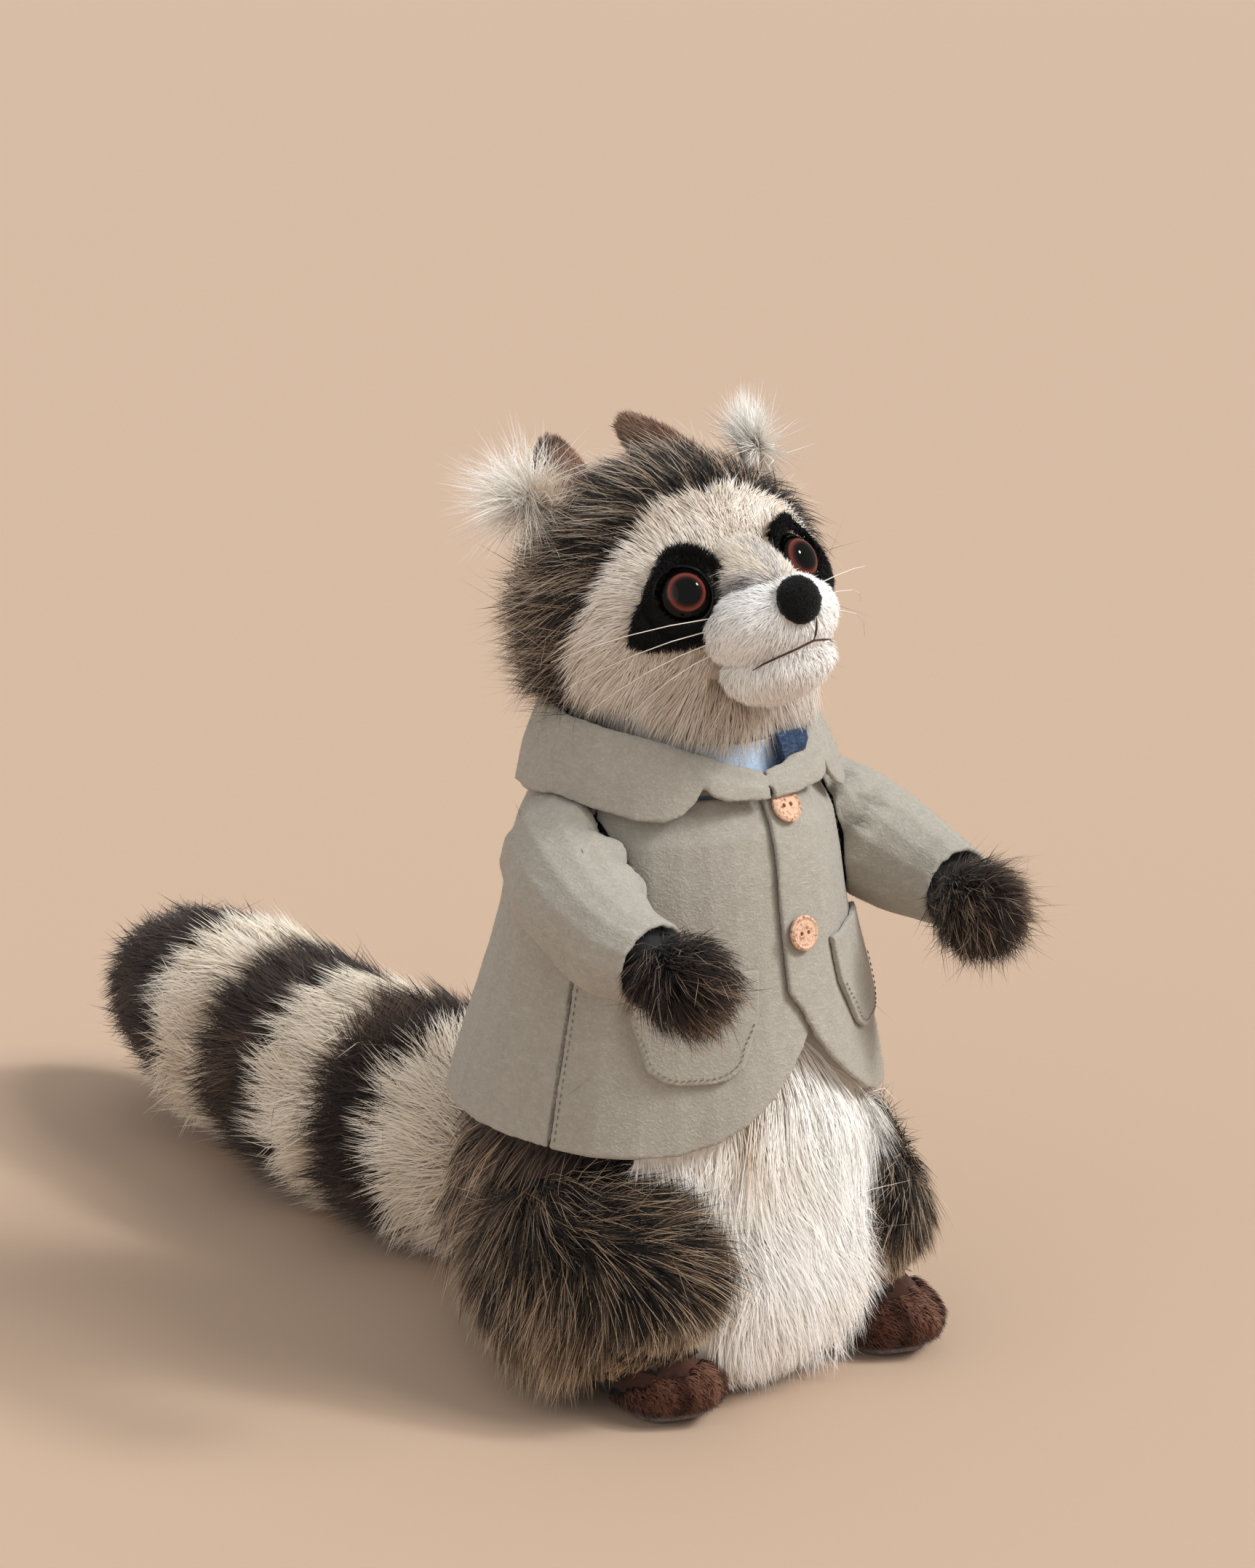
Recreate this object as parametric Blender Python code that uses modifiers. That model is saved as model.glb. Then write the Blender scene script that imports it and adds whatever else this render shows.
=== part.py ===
"""A stuffed raccoon that sits up on its haunches and wears a felt jacket.

The toy faces -Y and stands on the floor at z = 0, with its own right side at -X.
Sizes are in metres. Lengths below are written in millimetres and multiplied by MM.
"""
import bpy
import bmesh
from math import cos, sin, pi, radians
from mathutils import Matrix, Vector
from mathutils.bvhtree import BVHTree

MM = 0.001

# Cloth, seams and clearances
SEAM = 0.3 * MM            # space left between two pieces that touch
FELT = 2.0 * MM            # jacket felt with its pile
BELLY_PILE = 7.0 * MM      # white fur panel on the front of the body
MASK_PILE = 1.6 * MM       # short black pile around the eyes
SHIRT_THICK = 1.2 * MM
CUFF_EASE = 1.0 * MM       # room between an arm and its sleeve

# Body: height, half width, half depth and backward shift
BODY_TOP = 232.0
BODY_RINGS = [
    (0.0, 40, 40, 9), (0.0, 53, 53, 9), (5.0, 62, 63, 11), (22.0, 72, 74, 12),
    (50.0, 76, 79, 14), (88.0, 70, 72, 8), (130.0, 60, 58, 3), (165.0, 50, 47, 2),
    (192.0, 42, 39, 1), (212.0, 33, 31, 0), (BODY_TOP, 22, 20, 0),
]
BELLY_HALF_ANGLE = 50.0    # degrees either side of straight ahead
BELLY_LOW, BELLY_HIGH = 5.0, 196.0
BELLY_ROUND = 25.0         # height over which the panel's lower corners are rounded

# Legs
HAUNCH_AT = (50.0, -15.0, 47.0)
HAUNCH_HALF = (36.0, 57.0, 45.5)
FOOT_RIGHT, FOOT_LEFT = (-43.5, -43.0), (56.0, -50.0)
FOOT_HALF = (18.5, 26.0)
FOOT_HEIGHT = 29.0
SOLE_THICK = 2.5
TOE_LIFT = 6.0             # rise of the sole under the toes

# Tail: distance behind the middle of the body, sideways, height, radius
TAIL_LINE = [
    (72, 0, 44, 32), (94, -1, 45, 39), (122, -2, 46, 43), (152, -3, 47, 45),
    (190, -3, 47, 45), (225, -2, 48, 44), (262, 1, 50, 43), (300, 5, 52, 40),
    (335, 8, 53, 33), (360, 10, 53, 21), (369, 11, 53, 11),
]
TAIL_CUTS = [72, 116, 152, 188, 234, 279, 369]

# Head: middle, turn to its right, nose up, and lean to its right
HEAD_AT = (0.0, -4.0, 273.0)
HEAD_TURN, HEAD_LIFT, HEAD_LEAN = 10.0, 20.0, 9.0
SKULL_AT = (0.0, -3.0, 4.0)
SKULL_HALF = (53.0, 50.0, 50.0)


def on_skull(side, front, up):
    """A place in the head, by shares of the skull's half width, half depth and half height."""
    return tuple(SKULL_AT[k] + SKULL_HALF[k] * share for k, share in enumerate((side, front, up)))


def ahead_of_skull(side, ahead, up):
    """A place some way ahead of the skin of the head, by its place sideways and up."""
    share = 1 - (side / SKULL_HALF[0]) ** 2 - ((up - SKULL_AT[2]) / SKULL_HALF[2]) ** 2
    return (side, SKULL_AT[1] + SKULL_HALF[1] * max(share, 0.0) ** 0.5 + ahead, up)


EYE_AT = ahead_of_skull(23.2, -1.3, 4.0)
EYE_R = 9.4
EYE_SPLAY, EYE_RISE = 15.0, 7.0          # degrees that each eye looks outwards and up
EYE_SUNK = 3.0             # depth of the eye's widest ring behind the skin
RIM_R = EYE_R + SEAM / MM                # inner edge of the plastic lid
SOCKET_R = RIM_R + 2.4                   # opening in the face round the lid
MUZZLE_AT, MUZZLE_HALF = ahead_of_skull(0.0, 6.0, -13.0), (24.0, 22.5, 15.5)
CHIN_AT, CHIN_HALF = ahead_of_skull(0.0, 10.5, -27.5), (20.0, 20.0, 12.5)
NOSE_AT, NOSE_HALF = ahead_of_skull(0.0, 25.9, -9.5), (7.6, 6.6, 8.0)
BRIDGE_AT, BRIDGE_HALF = ahead_of_skull(0.0, 4.6, 1.5), (11.0, 20.0, 8.0)
BRIDGE_SLOPE = -38.0       # degrees from the forward axis, down towards the nose

# Ears: middle of the base, length, half width, and the way that the hollow side faces
EARS = {-1: (on_skull(-0.47, -0.185, 0.73), 38.0, 11.0, (0.35, -0.90, 0.0)),
        1: (on_skull(0.40, -0.08, 0.86), 29.0, 9.0, (0.85, -0.45, 0.0))}
EAR_WALL, LINING_WALL = 2.0, 1.4
TUFTS = {-1: (on_skull(-0.67, -0.17, 0.91), (-0.62, -0.10, 0.78)),
         1: (on_skull(0.80, 0.12, 0.80), (0.62, 0.0, 0.78))}
TUFT_HALF = (8.5, 8.5, 11.5)

# Jacket: height, half width, half depth and backward shift of its outer face
COAT_RINGS = [
    (94.0, 80.5, 80, 4), (112.0, 76.5, 76, 3.5), (130.0, 71.5, 71.5, 3), (150.0, 66.5, 66.5, 2.5),
    (168.0, 62.5, 62.5, 2), (185.0, 60, 59, 1.5), (198.0, 57.5, 56, 1), (208.0, 54.5, 52.5, 1),
    (217.0, 48, 47, 1),
]
HEM, NECK = 96.5, 216.0
SIDE_SEAM = 72.0           # degrees from straight ahead to each side seam
SIDE_GAP = 0.7 * MM        # between the cut edges of thick felt that meet there
CORNER, CORNER_RUN = 44.0, 70.0          # rise and length of the rounded front corners
HIKE = 9.0                 # the left front rides up by this much
RIGHT_EDGE, LEFT_EDGE = 6.0, -5.0        # degrees from the middle to the edge of each front
LAP_STARTS, LAP_RUN = 30.0, 16.0         # degrees where the left front lifts over the right one

# Arms: points from the shoulder to the wrist, with the sleeve's outer radius
ARM_LINE = [
    ((33, 4, 192), 19), ((45, 1, 194), 21.5), ((56, -6, 192), 22.5),
    ((63, -20, 187), 22), ((69, -38, 180), 20), ((71.5, -56, 175), 17.5),
    ((70.5, -69, 173), 16),
]
PAW_AT, PAW_R = (67.5, -84.0, 170.0), 17.2

BUTTON_R, BUTTON_THICK = 6.2, 2.2
BUTTON_HOLE_R, BUTTON_HOLE_AT = 0.8, 1.6
BUTTON_UPPER, BUTTON_LOWER = (2.5, 211.5), (1.5, 169.0)   # sideways, height
POCKET_HALF, POCKET_TALL, POCKET_TURN = 22.0, 37.0, 34.0
POCKET_TOP = {-1: 159.0, 1: 165.0}
POCKET_FELT = 1.4 * FELT   # a pocket and its turned edge
WHISKER_R = 0.2 * MM

# Shirt and tie: height, half width and half depth of the shirt; height, half width and
# front of the tie over the shirt
SHIRT = [(198.0, 44.5, 41.5), (208.0, 43.4, 41.4), (216.0, 43.2, 41.2), (237.0, 42.8, 40.8)]
SHIRT_LOW, SHIRT_TALL, SHIRT_TURN, SHIRT_DIP = 198.5, 38.0, 66.0, 4.0
TIE_AT = 13.0              # the tie hangs to the left, half under the lapel
TIE = [(205.0, 6.0, 2.4), (219.0, 4.2, 2.7), (221.5, 4.0, 4.1), (226.0, 4.8, 5.4),
       (231.5, 6.6, 5.4), (234.5, 7.0, 4.1)]

# Colours of the cloths and trims
GRIZZLED, THIGH_FUR, HOOD_FUR = (0.16, 0.12, 0.09), (0.14, 0.10, 0.08), (0.13, 0.10, 0.08)
WHITE_FUR, BELLY_FUR, CREAM_FUR = (0.80, 0.79, 0.76), (0.78, 0.76, 0.70), (0.55, 0.47, 0.38)
FACE_FUR, DARK_FUR, PAW_FUR = (0.62, 0.54, 0.44), (0.03, 0.02, 0.016), (0.06, 0.04, 0.03)
FOOT_PLUSH, SOLE_SATIN, BRIDGE_PLUSH = (0.10, 0.045, 0.03), (0.30, 0.28, 0.28), (0.55, 0.53, 0.51)
MASK_BLACK, NOSE_BLACK, EYE_BLACK = (0.01, 0.01, 0.012), (0.012, 0.012, 0.013), (0.02, 0.012, 0.01)
LID_GREY, EAR_BROWN, LINING_CREAM = (0.05, 0.05, 0.055), (0.13, 0.07, 0.045), (0.66, 0.60, 0.50)
FELT_GREY, SHIRT_BLUE, TIE_BLUE = (0.42, 0.40, 0.36), (0.60, 0.72, 0.88), (0.03, 0.05, 0.09)
BUTTON_CORK, WHISKER_NYLON = (0.62, 0.42, 0.31), (0.75, 0.70, 0.62)


for old in list(bpy.data.objects):
    bpy.data.objects.remove(old, do_unlink=True)
PARTS = bpy.data.collections.new("plush_raccoon")
bpy.context.scene.collection.children.link(PARTS)


def paint(name, colour, rough):
    made = bpy.data.materials.new(name)
    made.use_nodes = True
    shader = made.node_tree.nodes["Principled BSDF"]
    shader.inputs["Base Color"].default_value = (*colour, 1.0)
    shader.inputs["Roughness"].default_value = rough
    return made


def piece(name, bm, colour, rough=0.9, smooth=True):
    """Turns a bmesh into one named part, with its faces pointing out."""
    bm.normal_update()
    bmesh.ops.recalc_face_normals(bm, faces=bm.faces)
    data = bpy.data.meshes.new(name)
    bm.to_mesh(data)
    bm.free()
    obj = bpy.data.objects.new(name, data)
    PARTS.objects.link(obj)
    data.materials.append(paint(name + "_look", colour, rough))
    for face in data.polygons:
        face.use_smooth = smooth
    return obj


def settle(obj):
    """Applies the modifiers of a part, and keeps its largest closed body."""
    bpy.context.view_layer.update()
    shape = obj.evaluated_get(bpy.context.evaluated_depsgraph_get())
    bm = bmesh.new()
    bm.from_mesh(bpy.data.meshes.new_from_object(shape))
    bmesh.ops.remove_doubles(bm, verts=bm.verts, dist=0.000004)
    bmesh.ops.dissolve_degenerate(bm, edges=bm.edges, dist=0.000002)
    groups, seen = [], set()
    for start in bm.verts:
        if start in seen:
            continue
        seen.add(start)
        group, queue = [], [start]
        while queue:
            at = queue.pop()
            group.append(at)
            for edge in at.link_edges:
                other = edge.other_vert(at)
                if other not in seen:
                    seen.add(other)
                    queue.append(other)
        groups.append(group)
    groups.sort(key=len)
    for group in groups[:-1]:
        bmesh.ops.delete(bm, geom=group, context="VERTS")
    bmesh.ops.triangulate(bm, faces=[f for f in bm.faces if len(f.verts) > 4])
    obj.modifiers.clear()
    smooth = bool(obj.data.polygons) and obj.data.polygons[0].use_smooth
    bm.to_mesh(obj.data)
    bm.free()
    for face in obj.data.polygons:
        face.use_smooth = smooth


def carve(target, source, gap=SEAM):
    """Cuts a part, and a clearance around it, out of another part."""
    bm = bmesh.new()
    bm.from_mesh(source.data)
    bm.normal_update()
    moved = [(v, v.co + v.normal * gap) for v in bm.verts]
    for v, at in moved:
        v.co = at
    data = bpy.data.meshes.new("cutter")
    bm.to_mesh(data)
    bm.free()
    cutter = bpy.data.objects.new("cutter", data)
    bpy.context.scene.collection.objects.link(cutter)
    cut = target.modifiers.new("carve", "BOOLEAN")
    cut.operation = "DIFFERENCE"
    cut.solver = "EXACT"
    cut.object = cutter
    settle(target)
    bpy.data.objects.remove(cutter, do_unlink=True)


def loft(rings, caps=True):
    """Joins rings of points into one skin, with a flat face over each end."""
    bm = bmesh.new()
    made = [[bm.verts.new(p) for p in ring] for ring in rings]
    for low, high in zip(made, made[1:]):
        for i in range(len(low)):
            j = (i + 1) % len(low)
            bm.faces.new((low[i], low[j], high[j], high[i]))
    if caps:
        bm.faces.new(made[0])
        bm.faces.new(made[-1])
    else:
        for i in range(len(made[0])):
            j = (i + 1) % len(made[0])
            bm.faces.new((made[-1][i], made[-1][j], made[0][j], made[0][i]))
    return bm


def sheet(name, rows, thick, colour, about=Vector((0, 0, 0.15)), probe=0.5):
    """A cloth panel from rows of points on its outer face, which faces away from a point."""
    bm = bmesh.new()
    made = [[bm.verts.new(p) for p in row] for row in rows]
    faces = []
    for low, high in zip(made, made[1:]):
        for i in range(len(low) - 1):
            faces.append(bm.faces.new((low[i], low[i + 1], high[i + 1], high[i])))
    bm.normal_update()
    middle = faces[int(len(made[0]) * probe) - 1 + (len(made[0]) - 1) * (len(made) // 2 - 1)]
    if (middle.calc_center_median() - about).dot(middle.normal) < 0:
        bmesh.ops.reverse_faces(bm, faces=faces)
    data = bpy.data.meshes.new(name)
    bm.to_mesh(data)
    bm.free()
    panel = bpy.data.objects.new(name, data)
    PARTS.objects.link(panel)
    data.materials.append(paint(name + "_look", colour, 0.9))
    data.polygons.foreach_set("use_smooth", [True] * len(data.polygons))
    wall = panel.modifiers.new("thickness", "SOLIDIFY")
    wall.thickness, wall.offset = thick, -1.0
    settle(panel)
    return panel


def table(rows, at, column):
    """Reads a smooth value between the rows of a table of sizes."""
    if at <= rows[0][0]:
        return rows[0][column]
    for k in range(len(rows) - 1):
        a, b = rows[k], rows[k + 1]
        if at <= b[0]:
            t = (at - a[0]) / (b[0] - a[0])
            before = rows[max(k - 1, 0)]
            after = rows[min(k + 2, len(rows) - 1)]
            m0 = (b[column] - before[column]) / max(b[0] - before[0], 1e-6)
            m1 = (after[column] - a[column]) / max(after[0] - a[0], 1e-6)
            step = b[0] - a[0]
            h = t * t * (3 - 2 * t)
            return (a[column] * (1 - h) + b[column] * h
                    + m0 * step * t * (1 - t) ** 2 - m1 * step * t * t * (1 - t))
    return rows[-1][column]


def padded(name, at, half, colour, around=16, tall=9, place=None):
    """A stuffed pad: a sphere drawn out to three half sizes, then set in its place."""
    bm = bmesh.new()
    bmesh.ops.create_uvsphere(bm, u_segments=around, v_segments=tall, radius=1.0)
    for vert in bm.verts:
        p = Vector(at) + Vector(vert.co[k] * half[k] for k in range(3))
        vert.co = place(p) if place else p * MM
    return piece(name, bm, colour)


def turned(name, profile, place, sides, colour, rough=0.9):
    """A turned part: a profile of radius and height, run once round its axis."""
    bm = bmesh.new()
    line = [bm.verts.new(Vector((r, 0, z)) * MM) for r, z in profile]
    edges = [bm.edges.new(pair) for pair in zip(line, line[1:])]
    bmesh.ops.spin(bm, geom=line + edges, cent=(0, 0, 0), axis=(0, 0, 1), angle=2 * pi,
                   steps=sides, use_merge=True)
    bmesh.ops.remove_doubles(bm, verts=bm.verts, dist=0.01 * MM)
    bm.transform(place)
    return piece(name, bm, colour, rough)


def side_name(stem, side):
    return stem + ("_left" if side > 0 else "_right")


def mirrored(p, side):
    return Vector((p[0] * side, p[1], p[2]))


# Body: one stuffed pear of grizzled fur, with a flat base that rests on the floor.
def body_point(angle, height, out=0.0):
    a = table(BODY_RINGS[1:], height, 1) + out
    b = table(BODY_RINGS[1:], height, 2) + out
    shift = table(BODY_RINGS[1:], height, 3)
    return Vector((a * sin(angle), shift - b * cos(angle), height)) * MM


rings = []
for height, a, b, shift in BODY_RINGS:
    rings.append([Vector((a * sin(2 * pi * i / 22), shift - b * cos(2 * pi * i / 22), height)) * MM
                  for i in range(22)])
body = piece("body", loft(rings), GRIZZLED)

# Belly: a panel of long white fur over the front of the body.
rows = []
for k in range(9):
    height = BELLY_LOW + (BELLY_HIGH - BELLY_LOW) * k / 8
    pinch = 1.0 - 0.35 * max(0.0, (height - 120) / 80)
    if height < BELLY_ROUND:
        pinch *= 0.72 + 0.28 * (height / BELLY_ROUND) ** 0.5
    row = []
    for i in range(9):
        angle = radians(BELLY_HALF_ANGLE) * pinch * (i / 4 - 1)
        row.append(body_point(angle, height, BELLY_PILE / MM + SEAM / MM + 0.9))
    rows.append(row)
belly = sheet("belly_panel", rows, BELLY_PILE + 2.5 * MM, BELLY_FUR)
carve(belly, body)

# Feet: short brown plush with a row of toes, each on its own grey sole.
def foot_outline(turn, grow):
    """The sole's outline, with four toes across its front."""
    x, y = cos(turn), sin(turn)
    front = max(0.0, -y)
    toes = 0.055 * front * cos(9.5 * (x / (abs(x) + abs(y)))) if front > 0.25 else 0.0
    wide = 1.0 + 0.06 * front
    return x * FOOT_HALF[0] * wide * grow * (1 + toes), y * FOOT_HALF[1] * grow * (1 + toes)


def foot_ring(at, height, grow, drop=0.0):
    """A ring of the foot; its front rises with the toes."""
    ring = []
    for i in range(20):
        x, y = foot_outline(2 * pi * i / 20, grow)
        front = max(0.0, -y / FOOT_HALF[1] - 0.25)
        rise = TOE_LIFT * front ** 1.4 - drop * max(0.0, -y)
        ring.append(Vector((at[0] + x, at[1] + y, height + rise)) * MM)
    return ring


FOOT_STARTS = SOLE_THICK + SEAM / MM + 0.2
for side, at in ((-1, FOOT_RIGHT), (1, FOOT_LEFT)):
    profile = [(FOOT_STARTS, 0.03), (FOOT_STARTS, 0.45), (FOOT_STARTS, 0.80), (FOOT_STARTS + 1.5, 0.92),
               (8.5, 1.0), (14.0, 0.99), (20.0, 0.86), (25.5, 0.60), (FOOT_HEIGHT, 0.30)]
    rings = [foot_ring(at, height, grow, 0.30 * max(0.0, height - 8.5) / FOOT_HEIGHT)
             for height, grow in profile]
    foot = piece(side_name("foot", side), loft(rings), FOOT_PLUSH)
    profile = [(0.0, 0.03), (0.0, 0.45), (0.0, 0.72), (0.6, 0.77), (SOLE_THICK - 0.5, 0.78),
               (SOLE_THICK, 0.75), (SOLE_THICK, 0.45), (SOLE_THICK, 0.03)]
    sole = piece(side_name("sole", side), loft([foot_ring(at, height, grow) for height, grow in profile]),
                 SOLE_SATIN)
    for source in (body, belly):
        carve(foot, source)
        carve(sole, source)
    haunch = padded(side_name("haunch", side), mirrored(HAUNCH_AT, side), HAUNCH_HALF, THIGH_FUR, 16, 9)
    for source in (body, belly, foot, sole):
        carve(haunch, source)

# Tail: six rings of long fur, sewn edge to edge, from the body to the dark tip.
def tail_ring(y):
    x, z, r = (table(TAIL_LINE, y, c) for c in (1, 2, 3))
    return [Vector((x + r * cos(2 * pi * i / 18), y, max(z + r * sin(2 * pi * i / 18), 1.0))) * MM
            for i in range(18)]


for k in range(6):
    low, high = TAIL_CUTS[k], TAIL_CUTS[k + 1]
    low += SEAM / MM if k else 0
    steps = 4 if k < 5 else 7
    rings = []
    for j in range(steps + 1):
        t = j / steps
        if k == 5:
            t = sin(t * pi / 2)
        rings.append(tail_ring(low + (high - low) * t))
    ring = piece(f"tail_ring_{k + 1}", loft(rings), DARK_FUR if k % 2 else CREAM_FUR)
    if k < 2:
        carve(ring, body)

# Head frame: every head piece is laid out sideways, forwards and upwards from HEAD_AT.
FORWARD = Vector((-sin(radians(HEAD_TURN)) * cos(radians(HEAD_LIFT)),
                  -cos(radians(HEAD_TURN)) * cos(radians(HEAD_LIFT)), sin(radians(HEAD_LIFT))))
LEVEL = Vector((cos(radians(HEAD_TURN)), -sin(radians(HEAD_TURN)), 0))
CROWN = LEVEL.cross(FORWARD) * (1 if LEVEL.cross(FORWARD).z > 0 else -1)
SIDEWAYS = LEVEL * cos(radians(HEAD_LEAN)) + CROWN * sin(radians(HEAD_LEAN))
UPWARDS = CROWN * cos(radians(HEAD_LEAN)) - LEVEL * sin(radians(HEAD_LEAN))


def head(p):
    return (Vector(HEAD_AT) + SIDEWAYS * p[0] + FORWARD * p[1] + UPWARDS * p[2]) * MM


# Angle from the forward axis where the cream face meets the grizzled hood, by turn from the top
FACE_EDGE = [(0, 38), (15, 41), (30, 43.5), (47, 46), (73, 56), (90, 71), (105, 87), (130, 97), (180, 100)]


def skull(polar, turn, scale=1.0, shift=0.0):
    """A point on the skull, by its angle from straight ahead and its turn from the top."""
    d = Vector((sin(polar) * sin(turn), cos(polar), sin(polar) * cos(turn)))
    h = Vector(SKULL_HALF)
    r = 1.0 / ((d.x / h.x) ** 2 + (d.y / h.y) ** 2 + (d.z / h.z) ** 2) ** 0.5
    return Vector(SKULL_AT) + d * r * scale + Vector((0, shift, 0))


def face_edge(turn):
    """Angle of the seam between face and hood at a turn from the top of the head."""
    return radians(table(FACE_EDGE, abs((turn + pi) % (2 * pi) - pi) * 180 / pi, 1))


def skull_rings(shares, front):
    """Rings from one pole of the head to the seam, and back in to its middle."""
    turns = [2 * pi * i / 22 for i in range(22)]
    seam = SEAM / MM if front else 0.0
    rings = []
    for share in shares:
        ring = []
        for turn in turns:
            edge = face_edge(turn)
            polar = edge * share if front else pi - (pi - edge) * share
            ring.append(head(skull(polar, turn, 1.0, seam)))
        rings.append(ring)
    for scale, inner in ((0.6, 4.0), (0.2, 6.0)):
        rings.append([head(skull(face_edge(turn), turn, scale, seam * inner)) for turn in turns])
    return rings


face = piece("face", loft(skull_rings((0.08, 0.27, 0.46, 0.64, 0.82, 1.0), True)), FACE_FUR)
hood = piece("hood", loft(skull_rings((0.07, 0.24, 0.43, 0.62, 0.81, 1.0), False)), HOOD_FUR)

# Eyes: a glass dome in a plastic lid, set in a socket of the face.
sockets = {}
for side in (-1, 1):
    look = Vector((sin(radians(EYE_SPLAY)) * side, cos(radians(EYE_SPLAY)), sin(radians(EYE_RISE))))
    out = (SIDEWAYS * look.x + FORWARD * look.y + UPWARDS * look.z).normalized()
    centre = head(mirrored(EYE_AT, side)) - out * EYE_SUNK * MM
    place = Matrix.Translation(centre) @ out.to_track_quat("Z", "Y").to_matrix().to_4x4()
    turned(side_name("eye", side),
           [(0, -5.0), (EYE_R - 1.1, -4.2), (EYE_R - 0.4, -1.5), (EYE_R, 0.6), (EYE_R - 0.5, 3.0),
            (EYE_R - 2.1, 5.6), (EYE_R - 4.5, 7.3), (EYE_R - 7.0, 8.2), (0, 8.5)],
           place, 14, EYE_BLACK, 0.05)
    turned(side_name("eye_rim", side),
           [(RIM_R, -3.0), (RIM_R + 1.7, -2.6), (RIM_R + 2.0, -0.6), (RIM_R + 1.3, 1.2),
            (RIM_R + 0.4, 1.7), (RIM_R + 0.05, 0.6), (RIM_R, -3.0)],
           place, 14, LID_GREY, 0.35)
    sockets[side] = turned("socket", [(0, -5.4), (SOCKET_R - 0.2, -5.4), (SOCKET_R, -2.6), (SOCKET_R, 3.0),
                                      (SOCKET_R - 0.2, 9.0), (0, 9.0)], place, 14, EYE_BLACK)
    carve(face, sockets[side], 0.0)

# Muzzle, chin, bridge and nose: white pads on the face, and a flocked button nose.
muzzle = padded("muzzle", MUZZLE_AT, MUZZLE_HALF, WHITE_FUR, 16, 8, head)
carve(muzzle, face)
for side in (-1, 1):
    carve(muzzle, sockets[side], 0.0)
nose = padded("nose", NOSE_AT, NOSE_HALF, NOSE_BLACK, 12, 7, head)
carve(muzzle, nose)
chin = padded("chin", CHIN_AT, CHIN_HALF, WHITE_FUR, 14, 7, head)
carve(chin, face)
carve(chin, muzzle)


def bridge_place(p):
    tilt = radians(BRIDGE_SLOPE)
    q = p - Vector(BRIDGE_AT)
    return head(Vector(BRIDGE_AT) + Vector((q.x, q.y * cos(tilt) - q.z * sin(tilt),
                                            q.y * sin(tilt) + q.z * cos(tilt))))


bridge = padded("nose_bridge", BRIDGE_AT, BRIDGE_HALF, BRIDGE_PLUSH, 12, 7, bridge_place)
for source in (face, muzzle, nose):
    carve(bridge, source)
for side in (-1, 1):
    carve(bridge, sockets[side], 0.0)

# Eye patches: short black pile round the eye that runs to a point on the cheek.
PATCH = [  # turn from straight up towards the ear, and reach from the middle of the eye
    (0, 15.0), (30, 14.5), (60, 15.0), (75, 17.0), (90, 21.5), (101, 29.0), (110, 38.0), (120, 31.0),
    (136, 23.0), (156, 18.5), (178, 16.5), (200, 15.5), (240, 14.0), (280, 13.5), (320, 14.2), (360, 15.0),
]
PATCH_TIP, PATCH_SIDES = 110.0, 24


def face_point(p, out):
    d = (p - Vector(SKULL_AT)).normalized()
    h = Vector(SKULL_HALF)
    r = 1.0 / ((d.x / h.x) ** 2 + (d.y / h.y) ** 2 + (d.z / h.z) ** 2) ** 0.5
    return Vector(SKULL_AT) + Vector((0, SEAM / MM, 0)) + d * (r + out)


for side in (-1, 1):
    low, high = 0.35, MASK_PILE / MM + 0.35
    rings = []
    for share, out in ((0.0, low), (0.5, low), (1.0, low), (0.97, high), (0.5, high), (0.0, high)):
        ring = []
        for i in range(PATCH_SIDES):
            turn = (PATCH_TIP + 360.0 * i / PATCH_SIDES) % 360.0
            angle = radians(turn)
            r = SOCKET_R + SEAM / MM + (table(PATCH, turn, 1) - SOCKET_R) * share
            across = Vector((sin(angle) * side, 0, cos(angle))) * r
            flat = mirrored(EYE_AT, side) + across
            ring.append(head(face_point(flat, out)))
        rings.append(ring)
    patch = piece(side_name("eye_patch", side), loft(rings, caps=False), MASK_BLACK)
    for source in (bridge, muzzle):
        carve(patch, source)
    carve(patch, sockets[side], 0.0)
for side in (-1, 1):
    bpy.data.objects.remove(sockets[side], do_unlink=True)

# Ears: a curled brown leaf with a cream lining, and a tuft of long white fur beside it.
def ear_rows(side, inset):
    """Rows across a leaf that leans back and in, and is curled about its length."""
    base, long, wide, faces_to = EARS[side]
    along = Vector((-0.30 * side, -0.55, 0.78)).normalized()
    open_to = Vector(faces_to)
    open_to = (open_to - along * open_to.dot(along)).normalized()
    across = along.cross(open_to)
    rows = []
    for k in range(6):
        t = k / 5
        reach = (wide - inset) * (1 - 0.70 * t ** 2.6)
        row = []
        for i in range(7):
            a = radians(80) * (i / 3 - 1)
            p = Vector(base) + along * (long - inset) * t + across * sin(a) * reach
            row.append(head(p - open_to * (cos(a) * reach * 0.75)))
        rows.append(row)
    return rows, head(Vector(base) + along * 12.0 + open_to * 9.0)


for side in (-1, 1):
    rows, about = ear_rows(side, 0.0)
    ear = sheet(side_name("ear", side), rows, EAR_WALL * MM, EAR_BROWN, about)
    rows, about = ear_rows(side, EAR_WALL + SEAM / MM + 0.1)
    lining = sheet(side_name("ear_lining", side), rows, LINING_WALL * MM, LINING_CREAM, about)
    for source in (hood, face):
        carve(ear, source)
        carve(lining, source)
    carve(lining, ear)
    base, reach = TUFTS[side]
    lean = Vector(reach).to_track_quat("Z", "Y").to_matrix()
    tuft = padded(side_name("ear_tuft", side), (0, 0, 0), TUFT_HALF, WHITE_FUR, 14, 8,
                  lambda p: head(Vector(base) + lean @ p))
    for source in (hood, face, ear, lining):
        carve(tuft, source, 2 * SEAM)

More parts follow.
